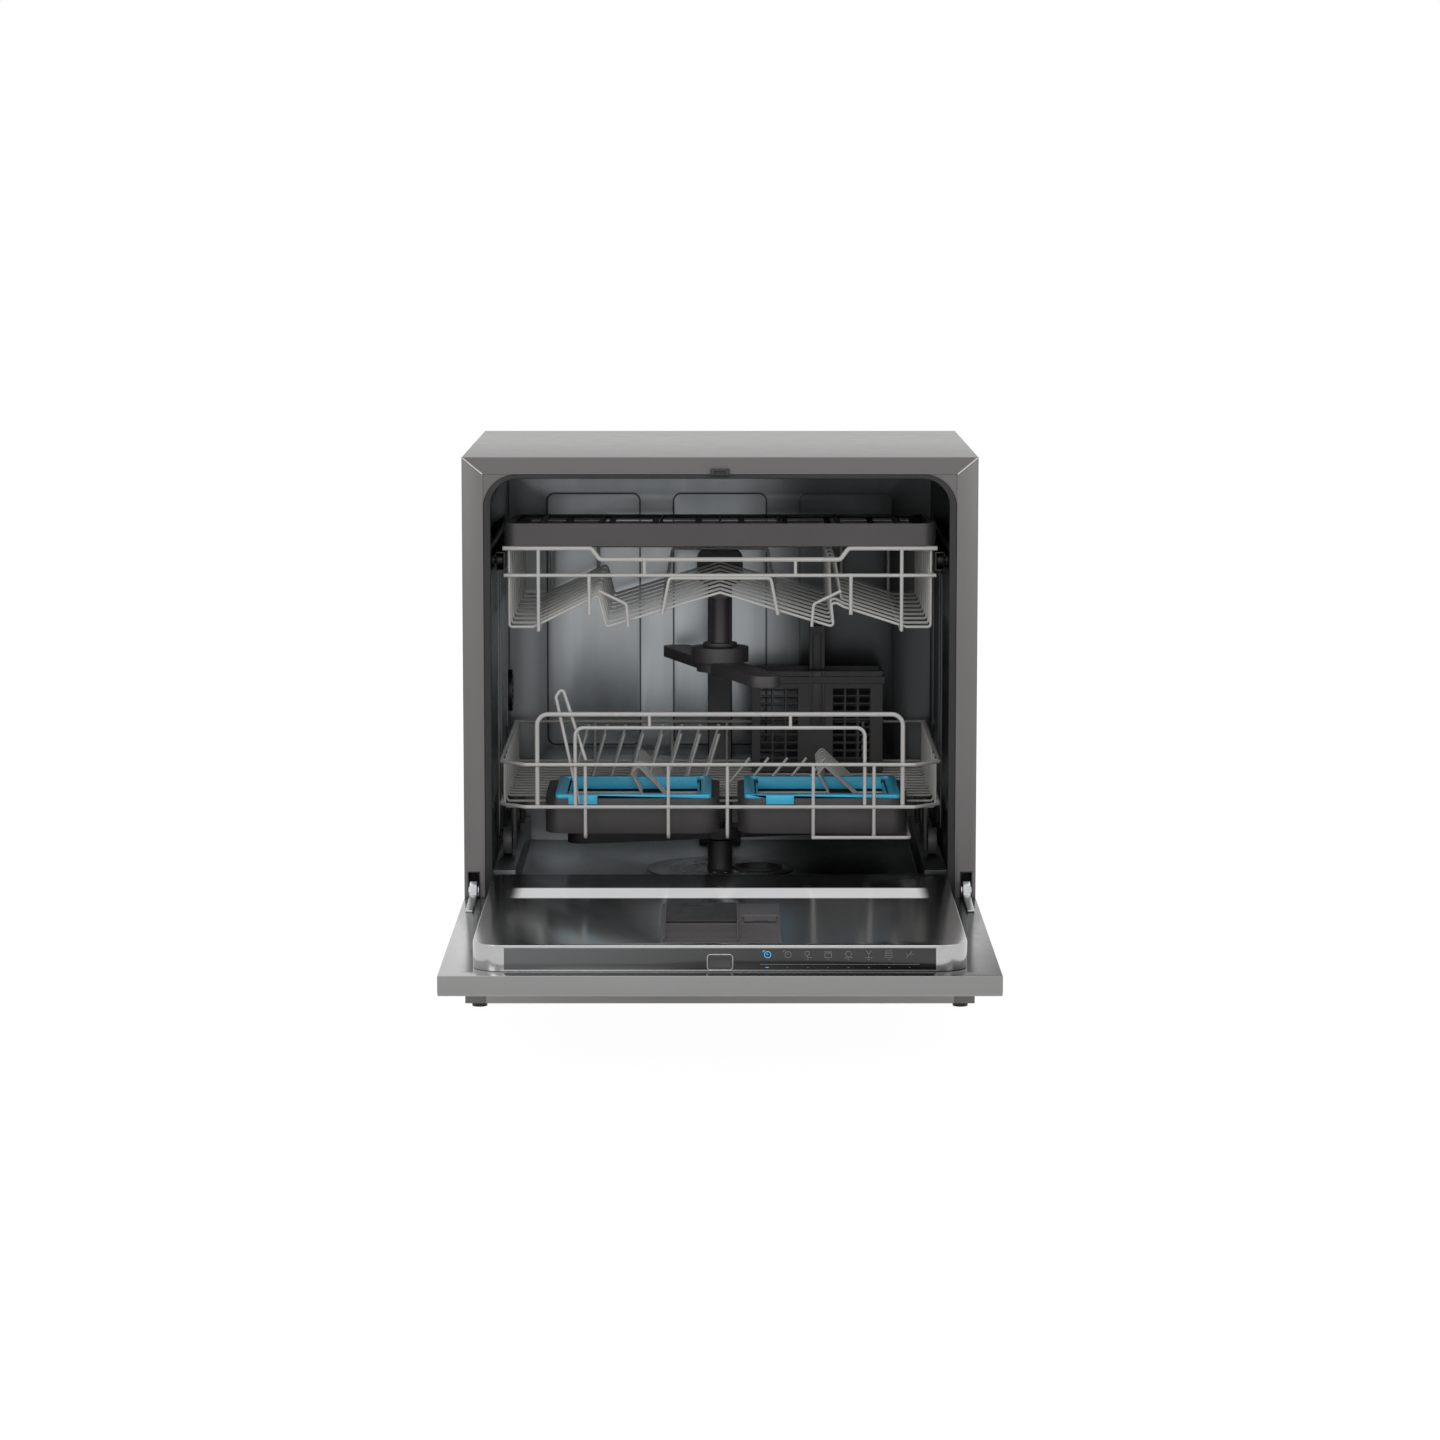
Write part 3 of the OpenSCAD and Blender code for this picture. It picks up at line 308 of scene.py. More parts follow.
def tub_sheet(name, colour):
    """Tub steel: a painted reflection left of the middle, painted shade to the right, at the edges and along
    the pads' seams.
    """
    colour = tuple(colour)
    upright = (1.0, 1.0, 0.02)
    # The three pads: distance between them, half sizes, height of the middle, corner and back wall, in m
    step, half_wide, half_high, middle, corner, wall = 0.147, 0.054, 0.147, 0.378, 0.009, 0.415

    def tone(tree):
        x, y, z = axes(tree)
        # Painted light: a reflection left of the middle, shade to the right, at the left edge, towards top
        # and bottom and in the side corners
        lit = (1.0 - x.smooth(0.0, 0.11)) * (0.35 + x.smooth(-0.245, -0.185) * 0.65)
        streaks = speckle(tree, 45.0, 4.0, 0.6, upright)
        lit = lit * (0.80 + streaks * 0.30) * (1.0 - (z - 0.36).size().smooth(0.08, 0.22) * 0.50)
        lit = lit * (1.0 - x.size().smooth(0.215, 0.244) * 0.70)
        own = (x / step).nearest().at_least(-1.0).at_most(1.0) * step
        across = (x - own).size() - (half_wide - corner)
        up = (z - middle).size() - (half_high - corner)
        outside = across.at_least(0.0) * across.at_least(0.0) + up.at_least(0.0) * up.at_least(0.0)
        edge = (outside.root() + across.at_least(up).at_most(0.0) - corner).size()
        # Painted shade in the pressed creases around each pad on the back wall
        seam = (1.0 - edge.smooth(0.0004, 0.0016)) * y.smooth(wall - 0.002, wall)
        return shade(tree, lit * (1.0 - seam * 0.95), tinted(colour, 0.12), colour)

    return finish(
        name,
        tone,
        lambda tree: 0.24 + speckle(tree, 70.0, 3.0, 0.6, upright) * 0.12,
        lambda tree: (speckle(tree, 90.0, 3.0, 0.6, upright), 0.05, 0.0002),
        Metallic=1.0,
    )


def liner_sheet(name, colour):
    """Polished inner face of the door, with painted shade towards the tub and a painted reflection glowing
    across it.
    """
    colour = tuple(colour)
    along = (0.03, 1.0, 1.0)
    middle = (FRONT - 129.0) * MM

    def tone(tree):
        grain = speckle(tree, 420.0, 3.0, 0.6, along)
        # Painted shade: darker towards the tub
        painted_tub_shade = 1.0 - axes(tree)[1].smooth(-0.40, -0.10) * 0.45
        return shade(tree, (0.80 + grain * 0.20) * painted_tub_shade, tinted(colour, 0.25), colour)

    def painted_reflection(tree):
        x, y, z = axes(tree)
        # Painted reflection: a glowing band across the liner's top face
        reflection_band = (1.0 - (y - middle).size().smooth(0.028, 0.036)) * (1.0 - x.size().smooth(0.205, 0.220))
        return shade(tree, reflection_band * z.smooth(0.139, 0.141), (0.0, 0.0, 0.0), (0.55, 0.55, 0.56))

    return finish(
        name,
        tone,
        lambda tree: 0.13 + speckle(tree, 300.0, 2.0, 0.6, along) * 0.07,
        Metallic=1.0,
        Emission_Color=painted_reflection,
        Emission_Strength=1.0,
    )


def door_surround(name):
    """Polished steel around the door's liner, with a painted reflection at the left and painted shade at the
    right.
    """

    def tone(tree):
        streaks = speckle(tree, 60.0, 3.0, 0.6, (1.0, 0.03, 1.0))
        # Painted light: bright at the left, shaded at the right
        lit = (1.0 - axes(tree)[0].smooth(-0.20, 0.20)) * (0.8 + streaks * 0.2)
        return shade(tree, lit, (0.02, 0.02, 0.02), (0.45, 0.45, 0.45))

    return finish(name, tone, lambda tree: 0.18 + speckle(tree, 80.0, 2.0) * 0.08, Metallic=1.0)


def moulded_plastic(name, colour, rough=0.42, grain=0.25, coat=0.0):
    """Moulded plastic with a fine eroded grain and slight unevenness."""
    colour = tuple(colour)

    def tone(tree):
        cloud = speckle(tree, 18.0, 3.0)
        return shade(tree, cloud, tinted(colour, 0.86), tinted(colour, 1.18))

    return finish(
        name,
        tone,
        lambda tree: rough + speckle(tree, 30.0, 3.0) * 0.10,
        lambda tree: (speckle(tree, 1500.0, 2.0), grain, 0.0002),
        Coat_Weight=coat,
        Coat_Roughness=0.15,
    )


def fading_strip(name):
    """Gloss strip that fades from steel grey at the left to black at the right."""

    def tone(tree):
        fade = axes(tree)[0].smooth(-0.24, 0.10) + speckle(tree, 60.0, 3.0, 0.6, (0.02, 1.0, 1.0)) * 0.05
        return shade(tree, fade, (0.110, 0.113, 0.117), (0.006, 0.006, 0.006))

    return finish(
        name,
        tone,
        lambda tree: 0.16 + speckle(tree, 30.0, 2.0) * 0.05,
        Coat_Weight=0.4,
        Coat_Roughness=0.1,
    )


def coated_wire(name, colour):
    """Thick satin coating on wire, a little greyer where it pools."""
    colour = tuple(colour)

    def tone(tree):
        return shade(tree, speckle(tree, 70.0, 3.0), tinted(colour, 0.90), tinted(colour, 1.06))

    return finish(
        name,
        tone,
        lambda tree: 0.28 + speckle(tree, 90.0, 2.0) * 0.12,
        lambda tree: (speckle(tree, 300.0, 2.0), 0.10, 0.0003),
        Coat_Weight=0.25,
        Coat_Roughness=0.2,
        Specular_IOR_Level=0.5,
    )


def rubber(name, colour):
    """Matt rubber with a dusty bloom."""
    colour = tuple(colour)

    def tone(tree):
        return shade(tree, speckle(tree, 45.0, 4.0), tinted(colour, 0.8), tinted(colour, 1.8))

    return finish(
        name,
        tone,
        lambda tree: 0.55 + speckle(tree, 60.0, 3.0) * 0.15,
        lambda tree: (speckle(tree, 900.0, 3.0), 0.3, 0.0003),
    )


def glowing_mark(name, colour, strength):
    """Printed or lit mark on the control strip; with a small strength, a printed mark gets a faint painted
    glow.
    """
    return finish(
        name,
        lambda tree: shade(tree, speckle(tree, 200.0, 1.0), tinted(colour, 0.9), colour),
        0.4,
        Emission_Color=(*colour, 1.0),
        Emission_Strength=strength,
    )


MATERIALS = {}


def make_materials(context):
    """Builds the finishes once from the scene's colours."""
    if MATERIALS:
        return
    tone = context.scene.dishwasher_finish
    along_x, along_z = (0.02, 1.0, 1.0), (1.0, 1.0, 0.02)
    MATERIALS.update(
        cabinet=painted_sheet("cabinet_paint", tone.cabinet),
        door=painted_sheet("door_paint", tone.door),
        tub=tub_sheet("tub_steel", tone.tub),
        filter=brushed_steel("filter_steel", tinted(tone.tub, 0.6), along_z, 0.26),
        liner=liner_sheet("liner_steel", tone.liner),
        surround=door_surround("surround_steel"),
        steel=brushed_steel("plain_steel", (0.46, 0.47, 0.48), along_x, 0.22),
        wire=coated_wire("wire_coating", tone.wire),
        plastic=moulded_plastic("dark_plastic", tone.plastic),
        black=moulded_plastic("black_plastic", tone.black, 0.38),
        pale=moulded_plastic("wheel_plastic", (0.120, 0.118, 0.118), 0.4),
        gloss=fading_strip("strip_gloss"),
        rubber=rubber("gasket_rubber", tone.black),
        collar=moulded_plastic("collar_plastic", tone.collar, 0.34, 0.08, 0.1),
        # A light copy of the cabinet paint for the painted highlights on the corner seams
        seam=painted_sheet("seam_paint", tinted(tone.cabinet, 4.5)),
        # The base's paint is the cabinet's made lighter: painted light where the open door shades the base
        base=painted_sheet("lightened_base_paint", tinted(tone.cabinet, 2.1)),
        holder=moulded_plastic("holder_plastic", tinted(tone.plastic, 0.74)),
        lit=glowing_mark("lit_mark", (0.05, 0.50, 0.95), 1.3),
        # Printed symbols with a faint painted glow
        mark=glowing_mark("pale_mark", (0.30, 0.31, 0.33), 0.05),
    )


# Mesh helpers


def put(name, bm, material, body, nodes=(), crease=32.0):
    """Turns a bmesh into a finished piece that rides on a body."""
    limit = math.radians(crease)
    for face in bm.faces:
        face.smooth = True
    for edge in bm.edges:
        edge.smooth = not (edge.is_manifold and edge.calc_face_angle(0.0) > limit)
    mesh = bpy.data.meshes.new(name)
    bm.to_mesh(mesh)
    bm.free()
    mesh.materials.append(MATERIALS[material])
    piece = bpy.data.objects.new(name, mesh)
    bpy.context.scene.collection.objects.link(piece)
    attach(piece, body)
    if nodes:
        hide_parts(*nodes)
    return piece


def edges_of(verts):
    """Every edge of some vertices, once."""
    return list(dict.fromkeys(e for v in verts for e in v.link_edges))


def rounded(bm, edges, width, segments):
    """Rounds edges by a width in mm."""
    bmesh.ops.bevel(
        bm,
        geom=edges,
        offset=width * MM,
        offset_type="OFFSET",
        affect="EDGES",
        segments=segments,
        profile=0.5,
        material=-1,
        clamp_overlap=True,
    )


def bevel_sharp(bm, width, segments):
    """Rounds every edge whose faces meet at over 30 degrees."""
    limit = math.radians(30.0)
    sharp = [e for e in bm.edges if e.is_manifold and e.calc_face_angle(0.0) > limit]
    if sharp:
        rounded(bm, sharp, width, segments)


def dressed(name, nodes, material, body, bevel, segments):
    """A bevelled copy of CAD nodes whose shape is already right."""
    bm = bmesh.new()
    for node in nodes:
        bm.from_mesh(NODES[node].data)
    bmesh.ops.remove_doubles(bm, verts=bm.verts, dist=2e-6)
    bmesh.ops.dissolve_limit(
        bm, angle_limit=math.radians(0.6), verts=bm.verts, edges=bm.edges, use_dissolve_boundaries=False
    )
    bevel_sharp(bm, bevel, segments)
    return put(name, bm, material, body, nodes)


def wire(bm, points, radius, bend=0.0, sides=12, arc=4):
    """Sweeps a round wire along points in mm, with round bends."""
    path = [Vector(p) * MM for p in points]
    radius, bend = radius * MM, bend * MM
    along = [(b - a).normalized() for a, b in zip(path, path[1:])]
    turned = along[0].to_track_quat("Z", "Y").to_matrix().to_4x4()
    made = bmesh.ops.create_circle(
        bm, cap_ends=True, segments=sides, radius=radius, matrix=Matrix.Translation(path[0]) @ turned
    )
    rim = edges_of(made["verts"])
    here = path[0]
    for i, way in enumerate(along):
        goal = path[i + 1]
        angle = way.angle(along[i + 1]) if i + 1 < len(along) else 0.0
        goal = goal - way * bend * math.tan(angle / 2)
        drawn = bmesh.ops.extrude_edge_only(bm, edges=rim)["geom"]
        moved = [g for g in drawn if isinstance(g, bmesh.types.BMVert)]
        bmesh.ops.translate(bm, vec=goal - here, verts=moved)
        rim = [g for g in drawn if isinstance(g, bmesh.types.BMEdge)]
        if angle > 1e-4:
            axis = way.cross(along[i + 1]).normalized()
            centre = goal + axis.cross(way) * bend
            spun = bmesh.ops.spin(
                bm, geom=rim, cent=centre, axis=axis, angle=angle, steps=arc, use_merge=False, dvec=(0, 0, 0)
            )["geom_last"]
            rim = [g for g in spun if isinstance(g, bmesh.types.BMEdge)]
            goal = centre + Matrix.Rotation(angle, 3, axis) @ (goal - centre)
        here = goal
    bmesh.ops.edgeloop_fill(bm, edges=rim)


def ring(bm, centre, radius, thick):
    """Round loop of wire that faces the front, in mm."""
    centre = Vector(centre) * MM
    normal = Vector((0, 1, 0))
    side = normal.orthogonal().normalized()
    turned = normal.cross(side).to_track_quat("Z", "Y").to_matrix().to_4x4()
    place = Matrix.Translation(centre + side * radius * MM) @ turned
    made = bmesh.ops.create_circle(bm, segments=8, radius=thick * MM, matrix=place)
    edges = edges_of(made["verts"])
    bmesh.ops.spin(
        bm, geom=edges, cent=centre, axis=normal, angle=math.tau, steps=24, use_merge=True, dvec=(0, 0, 0)
    )


def box(bm, low, high, bevel):
    """Block between two corners in mm, with rounded edges."""
    low, high = Vector(low) * MM, Vector(high) * MM
    place = Matrix.Translation((low + high) / 2) @ Matrix.Diagonal((*(high - low), 1.0))
    made = bmesh.ops.create_cube(bm, size=1.0, matrix=place)
    rounded(bm, edges_of(made["verts"]), bevel, 2)


def pulled(distance):
    """Y of a point of the lower rack that lies so far out when the rack is pulled out."""
    return PULLED - distance


# Pieces


class PieceOperator:
    """What every piece's operator shares."""

    bl_options = {"REGISTER", "UNDO"}

    def execute(self, context):
        make_materials(context)
        self.make(context)
        return {"FINISHED"}


class DISHWASHER_OT_stage(PieceOperator, bpy.types.Operator):
    """Adds the floor, the lamps, the room's light and the camera."""

    bl_idname = "dishwasher.stage"
    bl_label = "Stage"

    def make(self, context):
        scene = context.scene
        studio = scene.dishwasher_studio
        bm = bmesh.new()
        bmesh.ops.create_grid(bm, x_segments=1, y_segments=1, size=14.0)
        mesh = bpy.data.meshes.new("floor")
        bm.to_mesh(mesh)
        bm.free()
        floor = bpy.data.objects.new("floor", mesh)
        scene.collection.objects.link(floor)

        material = bpy.data.materials.new("pale_floor")
        material.use_nodes = True
        tree = material.node_tree
        tree.nodes.clear()
        matt = add_node(tree, "ShaderNodeBsdfDiffuse", {}, {0: (0.86, 0.86, 0.86, 1.0)})
        glow = add_node(tree, "ShaderNodeEmission", {}, {0: (1.0, 1.0, 1.0, 1.0), 1: 1.12})
        shown(tree, add_node(tree, "ShaderNodeMixShader", {}, {0: seen_rays(tree) * 0.86, 1: matt, 2: glow}))
        mesh.materials.append(material)

        world = bpy.data.worlds.new("white_room")
        scene.world = world
        world.use_nodes = True
        tree = world.node_tree
        tree.nodes.clear()
        strength = studio.room_light + seen_rays(tree) * (1.0 - studio.room_light)
        back = add_node(tree, "ShaderNodeBackground", {}, {0: (1.0, 1.0, 1.0, 1.0), 1: strength})
        shown(tree, back, "ShaderNodeOutputWorld")

        def lamp(name, power, size, place, aim, size_y=None):
            data = bpy.data.lights.new(name, "AREA")
            data.energy, data.shape = power, "RECTANGLE"
            data.size, data.size_y = size, size_y or size
            obj = bpy.data.objects.new(name, data)
            obj.location = place
            obj.rotation_euler = (Vector(aim) - Vector(place)).to_track_quat("-Z", "Y").to_euler()
            scene.collection.objects.link(obj)

        lamp("overhead", studio.lamp_power, 2.4, (0.0, 0.2, 2.6), (0.0, 0.1, 0.3), 1.8)
        lamp("left_front", studio.lamp_power * 0.8, 1.2, (-2.2, -2.4, 1.6), (0.0, 0.0, 0.3), 1.6)
        lamp("right_front", studio.lamp_power * 0.4, 1.2, (2.4, -2.2, 1.4), (0.0, 0.0, 0.3), 1.6)
        lamp("far_front", studio.lamp_power * 1.4, 2.6, (0.0, -4.6, 2.3), (0.0, 0.1, 0.3), 1.2)

        data = bpy.data.cameras.new("camera")
        data.sensor_fit, data.sensor_width, data.lens = "AUTO", 36.0, studio.camera_lens
        data.clip_end = 60.0
        camera = bpy.data.objects.new("camera", data)
        camera.location = (0.0, FRONT * MM - studio.camera_distance, studio.camera_height)
        camera.rotation_euler = (math.pi / 2 - studio.camera_pitch, 0.0, 0.0)
        scene.collection.objects.link(camera)
        scene.camera = camera
        scene.view_settings.view_transform = "Standard"


class DISHWASHER_OT_cabinet(PieceOperator, bpy.types.Operator):
    """Builds the painted cabinet: top, sides, front frame, back and base."""

    bl_idname = "dishwasher.cabinet"
    bl_label = "Cabinet"

    def make(self, context):
        dressed("top_cover", ["top_panel"], "cabinet", "cabinet", 0.9, 3)
        dressed("side_cover_left", ["side_panel_left"], "cabinet", "cabinet", 0.7, 3)
        dressed("side_cover_right", ["side_panel_right"], "cabinet", "cabinet", 0.7, 3)
        dressed("back_cover", ["back_panel"], "cabinet", "cabinet", 0.3, 2)
        dressed("base", ["base_tray"], "base", "cabinet", 0.5, 2)
        dressed("mouth_frame", ["front_frame"], "cabinet", "cabinet", 0.4, 2)
        dressed("feet", ["levelling_feet"], "rubber", "cabinet", 0.6, 2)
        # Thin bright rods on the mitred front corners: painted highlights where the seams catch the light
        bm = bmesh.new()
        for s in (-1, 1):
            wire(bm, [(s * 273.9, FRONT - 0.05, 594.0), (s * 253.0, FRONT - 0.05, 576.8)], 0.7, 0, 8)
        bmesh.ops.recalc_face_normals(bm, faces=bm.faces)
        put("corner_seams", bm, "seam", "cabinet")


class DISHWASHER_OT_tub(PieceOperator, bpy.types.Operator):
    """Builds the steel tub, its gasket, sill, vent and filter."""

    bl_idname = "dishwasher.tub"
    bl_label = "Tub"

    def make(self, context):
        dressed("tub_shell", ["tub"], "tub", "cabinet", 0.8, 3)
        dressed("mouth_gasket", ["tub_gasket"], "rubber", "cabinet", 1.0, 3)
        dressed("sill", ["threshold_strip"], "steel", "cabinet", 0.3, 2)
        dressed("strike", ["latch_strike"], "black", "cabinet", 0.5, 2)
        dressed("side_vent", ["vent_cover"], "black", "cabinet", 0.4, 2)
        dressed("drain_cup", ["drain_well"], "filter", "cabinet", 0.3, 2)
        dressed("filter_mesh", ["filter_plate"], "filter", "cabinet", 0.2, 2)
        dressed("filter_basket", ["filter_cup"], "plastic", "cabinet", 0.3, 2)


class DISHWASHER_OT_hinges(PieceOperator, bpy.types.Operator):
    """Builds the hinge boots, brackets and arms."""

    bl_idname = "dishwasher.hinges"
    bl_label = "Hinges"

    def make(self, context):
        for side in ("left", "right"):
            dressed("boot_" + side, ["hinge_boot_" + side], "black", "cabinet", 0.3, 2)
            dressed("bracket_" + side, ["hinge_bracket_" + side], "steel", "cabinet", 0.2, 2)
            dressed("arm_" + side, ["hinge_arm_" + side], "steel", "door", 0.3, 2)


class DISHWASHER_OT_water_path(PieceOperator, bpy.types.Operator):
    """Builds the feed pipe, dock, manifold, spray arms, pumps and hose spigots."""

    bl_idname = "dishwasher.water_path"
    bl_label = "Water path"

    def make(self, context):
        dressed("riser_pipe", ["feed_pipe"], "black", "cabinet", 1.5, 3)
        dressed("riser_dock", ["feed_dock"], "black", "cabinet", 0.8, 2)
        dressed("manifold", ["spray_manifold"], "plastic", "upper_rack", 0.5, 2)
        dressed("spray_arm_upper", ["upper_spray_arm"], "plastic", "upper_arm", 1.0, 3)
        dressed("spray_arm_lower", ["lower_spray_arm"], "plastic", "lower_arm", 1.0, 3)
        dressed("spindle", ["arm_spindle"], "plastic", "cabinet", 0.4, 2)
        dressed("sump", ["sump_body"], "plastic", "cabinet", 1.0, 2)
        dressed("pump_wash", ["wash_pump"], "plastic", "cabinet", 1.0, 2)
        dressed("pump_drain", ["drain_pump"], "plastic", "cabinet", 0.8, 2)
        dressed("inlet_spigot", ["water_inlet"], "pale", "cabinet", 0.4, 2)
        dressed("outlet_spigot", ["drain_spigot"], "plastic", "cabinet", 0.4, 2)
        dressed("gland", ["cord_gland"], "black", "cabinet", 0.6, 2)


class DISHWASHER_OT_door(PieceOperator, bpy.types.Operator):
    """Builds the door's outer panel, steel liner, control strip and dispenser."""

    bl_idname = "dishwasher.door"
    bl_label = "Door"

    def make(self, context):
        skin = dressed("door_skin", ["door_panel"], "door", "door", 1.0, 3).data
        # Its top faces around the liner take the surround steel, with its painted reflection and painted
        # shade
        skin.materials.append(MATERIALS["surround"])
        for face in skin.polygons:
            if face.normal.z > 0.9 and face.center.z > 120.0 * MM:
                face.material_index = 1
        dressed("door_inner", ["door_liner"], "liner", "door", 1.4, 4)
        dressed("strip", ["control_strip"], "gloss", "door", 0.3, 2)
        dressed("latch_pocket", ["latch_insert"], "plastic", "door", 0.3, 2)
        self.marks()
        dressed("dispenser", ["dispenser_body"], "plastic", "door", 0.3, 2)
        dressed("dispenser_lid", ["detergent_lid"], "black", "detergent_lid", 0.5, 2)
        dressed("dispenser_flap", ["rinse_flap"], "plastic", "rinse_flap", 0.4, 2)

    def marks(self):
        """Lit and printed symbols of the programs, the line under them and the rim of the latch."""
        face, thick = FRONT - STRIP_FACE, 0.2

        def stroke(bm, x, z, *points):
            wire(bm, [(x + px, face, z + pz) for px, pz in points], thick, 0, 6)

        def dial(bm, x, z):
            ring(bm, (x + 0.5, face, z), 3.1, thick)
            stroke(bm, x, z, (0.5, 0), (-0.8, 1.5))
            stroke(bm, x, z, (-4.2, 2.6), (-3.4, 4.0), (-2.0, 3.6))

        places = [46.0 + 19.85 * i for i in range(8)]
        z = 138.0
        bm = bmesh.new()
        dial(bm, places[0], z)
        stroke(bm, places[0], 125.4, (-1.6, 0), (1.6, 0))
        bmesh.ops.recalc_face_normals(bm, faces=bm.faces)
        put("lit_symbol", bm, "lit", "door")

        bm = bmesh.new()
        dial(bm, places[1], z)
        ring(bm, (places[2] - 0.6, face, z + 1.2), 2.2, thick)
        stroke(bm, places[2], z, (-0.6, -1.0), (-0.6, -3.0), (3.6, -3.0))
        stroke(bm, places[3], z, (-3.2, 1.6), (-3.2, -3.0), (3.2, -3.0), (3.2, 1.6), (-3.2, 1.6))
        stroke(bm, places[3], z, (-3.8, 2.8), (3.8, 2.8))
        ring(bm, (places[4], face, z + 0.6), 2.9, thick)
        stroke(bm, places[4], z, (-4.0, -3.0), (4.0, -3.0))
        stroke(bm, places[5], z, (-2.4, 4.0), (0, 0.4), (2.4, 4.0))
        stroke(bm, places[5], z, (0, 0.4), (0, -3.0))
        stroke(bm, places[5], z, (-3.6, -3.0), (3.6, -3.0))
        for k in range(4):
            stroke(bm, places[6], z, (-3.4, 3.8 - 2.2 * k), (3.4, 3.8 - 2.2 * k))
        stroke(bm, places[6], z, (-3.4, -2.8), (-3.4, 3.8))
        stroke(bm, places[7], z, (-3.0, -3.4), (2.6, 3.6))
        stroke(bm, places[7], z, (-1.2, -1.2), (-2.8, 1.0))
        stroke(bm, places[7], z, (0.4, 0.8), (3.2, 0.2))
        for x in places[2:7]:
            stroke(bm, x, 133.0, (-1.1, 0), (1.1, 0))
        for x in places[1:]:
            stroke(bm, x, 125.4, (-0.8, 0), (0.8, 0))
        stroke(bm, 0, 128.4, (39, 0), (195, 0))
        bmesh.ops.recalc_face_normals(bm, faces=bm.faces)
        put("printed_symbols", bm, "mark", "door")

        low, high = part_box("latch_insert")
        half, bottom, top = high[0] / MM + 0.2, low[2] / MM - 0.2, high[2] / MM + 0.2
        bm = bmesh.new()
        loop = [(0.0, top), (half, top), (half, bottom), (-half, bottom), (-half, top), (0.1, top)]
        wire(bm, [(x, face, z) for x, z in loop], 0.45, 3.2, 8, 5)
        bmesh.ops.recalc_face_normals(bm, faces=bm.faces)
        put("latch_rim", bm, "steel", "door")


class DISHWASHER_OT_upper_rack(PieceOperator, bpy.types.Operator):
    """Builds the upper rack, its rails, guide wheels and cutlery tray."""

    bl_idname = "dishwasher.upper_rack"
    bl_label = "Upper rack"

    def make(self, context):
        bm = bmesh.new()
        half, rail, mid, low = 226.5, 495.4, 466.2, 410.3
        front, back = RACK_FRONT, RACK_BACK

        def row(y, peak):
            outline = [
                (-half, rail), (-half, low), (-200.7, low), (-131, 444.5), (-122, low), (0, 447.5),
                (122, low), (119.5, peak), (126, peak), (133, 432), (200.7, low), (half, low), (half, rail),
            ]
            wire(bm, [(x, y, z) for x, z in outline], 1.5, 3.0, 10, 4)

        for i in range(9):
            row(front + 4 + 45.875 * i, 436 if i < 2 else 474)
        rim = [(-233, rail), (-138, rail), (-129, 483.3), (129, 483.3), (138, rail), (233, rail)]
        for y in (front, back):
            wire(bm, [(x, y, z) for x, z in rim], 2.5, 5.0, 14, 5)
            wire(bm, [(-232, y, mid), (232, y, mid)], 2.0)
        for s in (-1, 1):
            wire(bm, [(s * half, front, rail), (s * half, back, rail)], 2.5, 0, 14)
            wire(bm, [(s * 229.4, front, mid), (s * 229.4, back, mid)], 2.0)
            for y in (front, back):
                wire(bm, [(s * 195, y, rail), (s * 195, y, 406.4)], 2.0)
                wire(bm, [(s * 140.5, y, 468.2), (s * 140.5, y, 424)], 2.0)
                wire(bm, [(s * 81, y, 483.3), (s * 81, y, mid)], 1.8)
            wire(bm, [(s * 130, front, 449.5), (s * 100.5, front, 435.2), (s * 98.5, front, 411)], 1.7, 4.0)
        for y in (front, back):
            wire(bm, [(-62, y, 424.3), (-54.5, y, 463.2), (54.5, y, 463.2), (62, y, 424.3)], 1.8, 4.0)
        for x, z in ((-195, 407.4), (195, 407.4), (-62, 425.3), (62, 425.3)):
            wire(bm, [(x, front, z), (x, back, z)], 2.0)
        bmesh.ops.recalc_face_normals(bm, faces=bm.faces)
        put("upper_wires", bm, "wire", "upper_rack", ["upper_rack_frame"], 50.0)
        for side in ("left", "right"):
            dressed("rail_" + side, ["upper_rail_" + side], "black", "upper_rack", 0.2, 2)
            for end in ("front", "rear"):
                name = "guide_wheel_%s_%s" % (end, side)
                dressed("roller_%s_%s" % (end, side), [name], "black", name, 0.5, 2)
        dressed("roller_axles", ["guide_axles"], "black", "cabinet", 0.2, 2)
        self.tray()

    def tray(self):
        """The cutlery tray, whose sides grow lower towards the back."""
        bm = bmesh.new()
        bm.from_mesh(NODES["cutlery_tray"].data)
        bmesh.ops.remove_doubles(bm, verts=bm.verts, dist=2e-6)
        # The cut starts just above the front wall and falls by 19 mm over 360 mm
        start, slope = Vector((0.0, RACK_FRONT + 4.0, 522.3)), Vector((0.0, 19.0, 360.0)).normalized()
        cut = bmesh.ops.bisect_plane(
            bm,
            geom=[*bm.verts, *bm.edges, *bm.faces],
            plane_co=start * MM,
            plane_no=slope,
            clear_outer=True,
        )["geom_cut"]
        rims = [g for g in cut if isinstance(g, bmesh.types.BMEdge)]
        bmesh.ops.triangle_fill(bm, use_beauty=True, use_dissolve=True, edges=rims, normal=slope)
        bmesh.ops.recalc_face_normals(bm, faces=bm.faces)
        bevel_sharp(bm, 0.3, 1)
        put("tray", bm, "plastic", "upper_rack", ["cutlery_tray"])


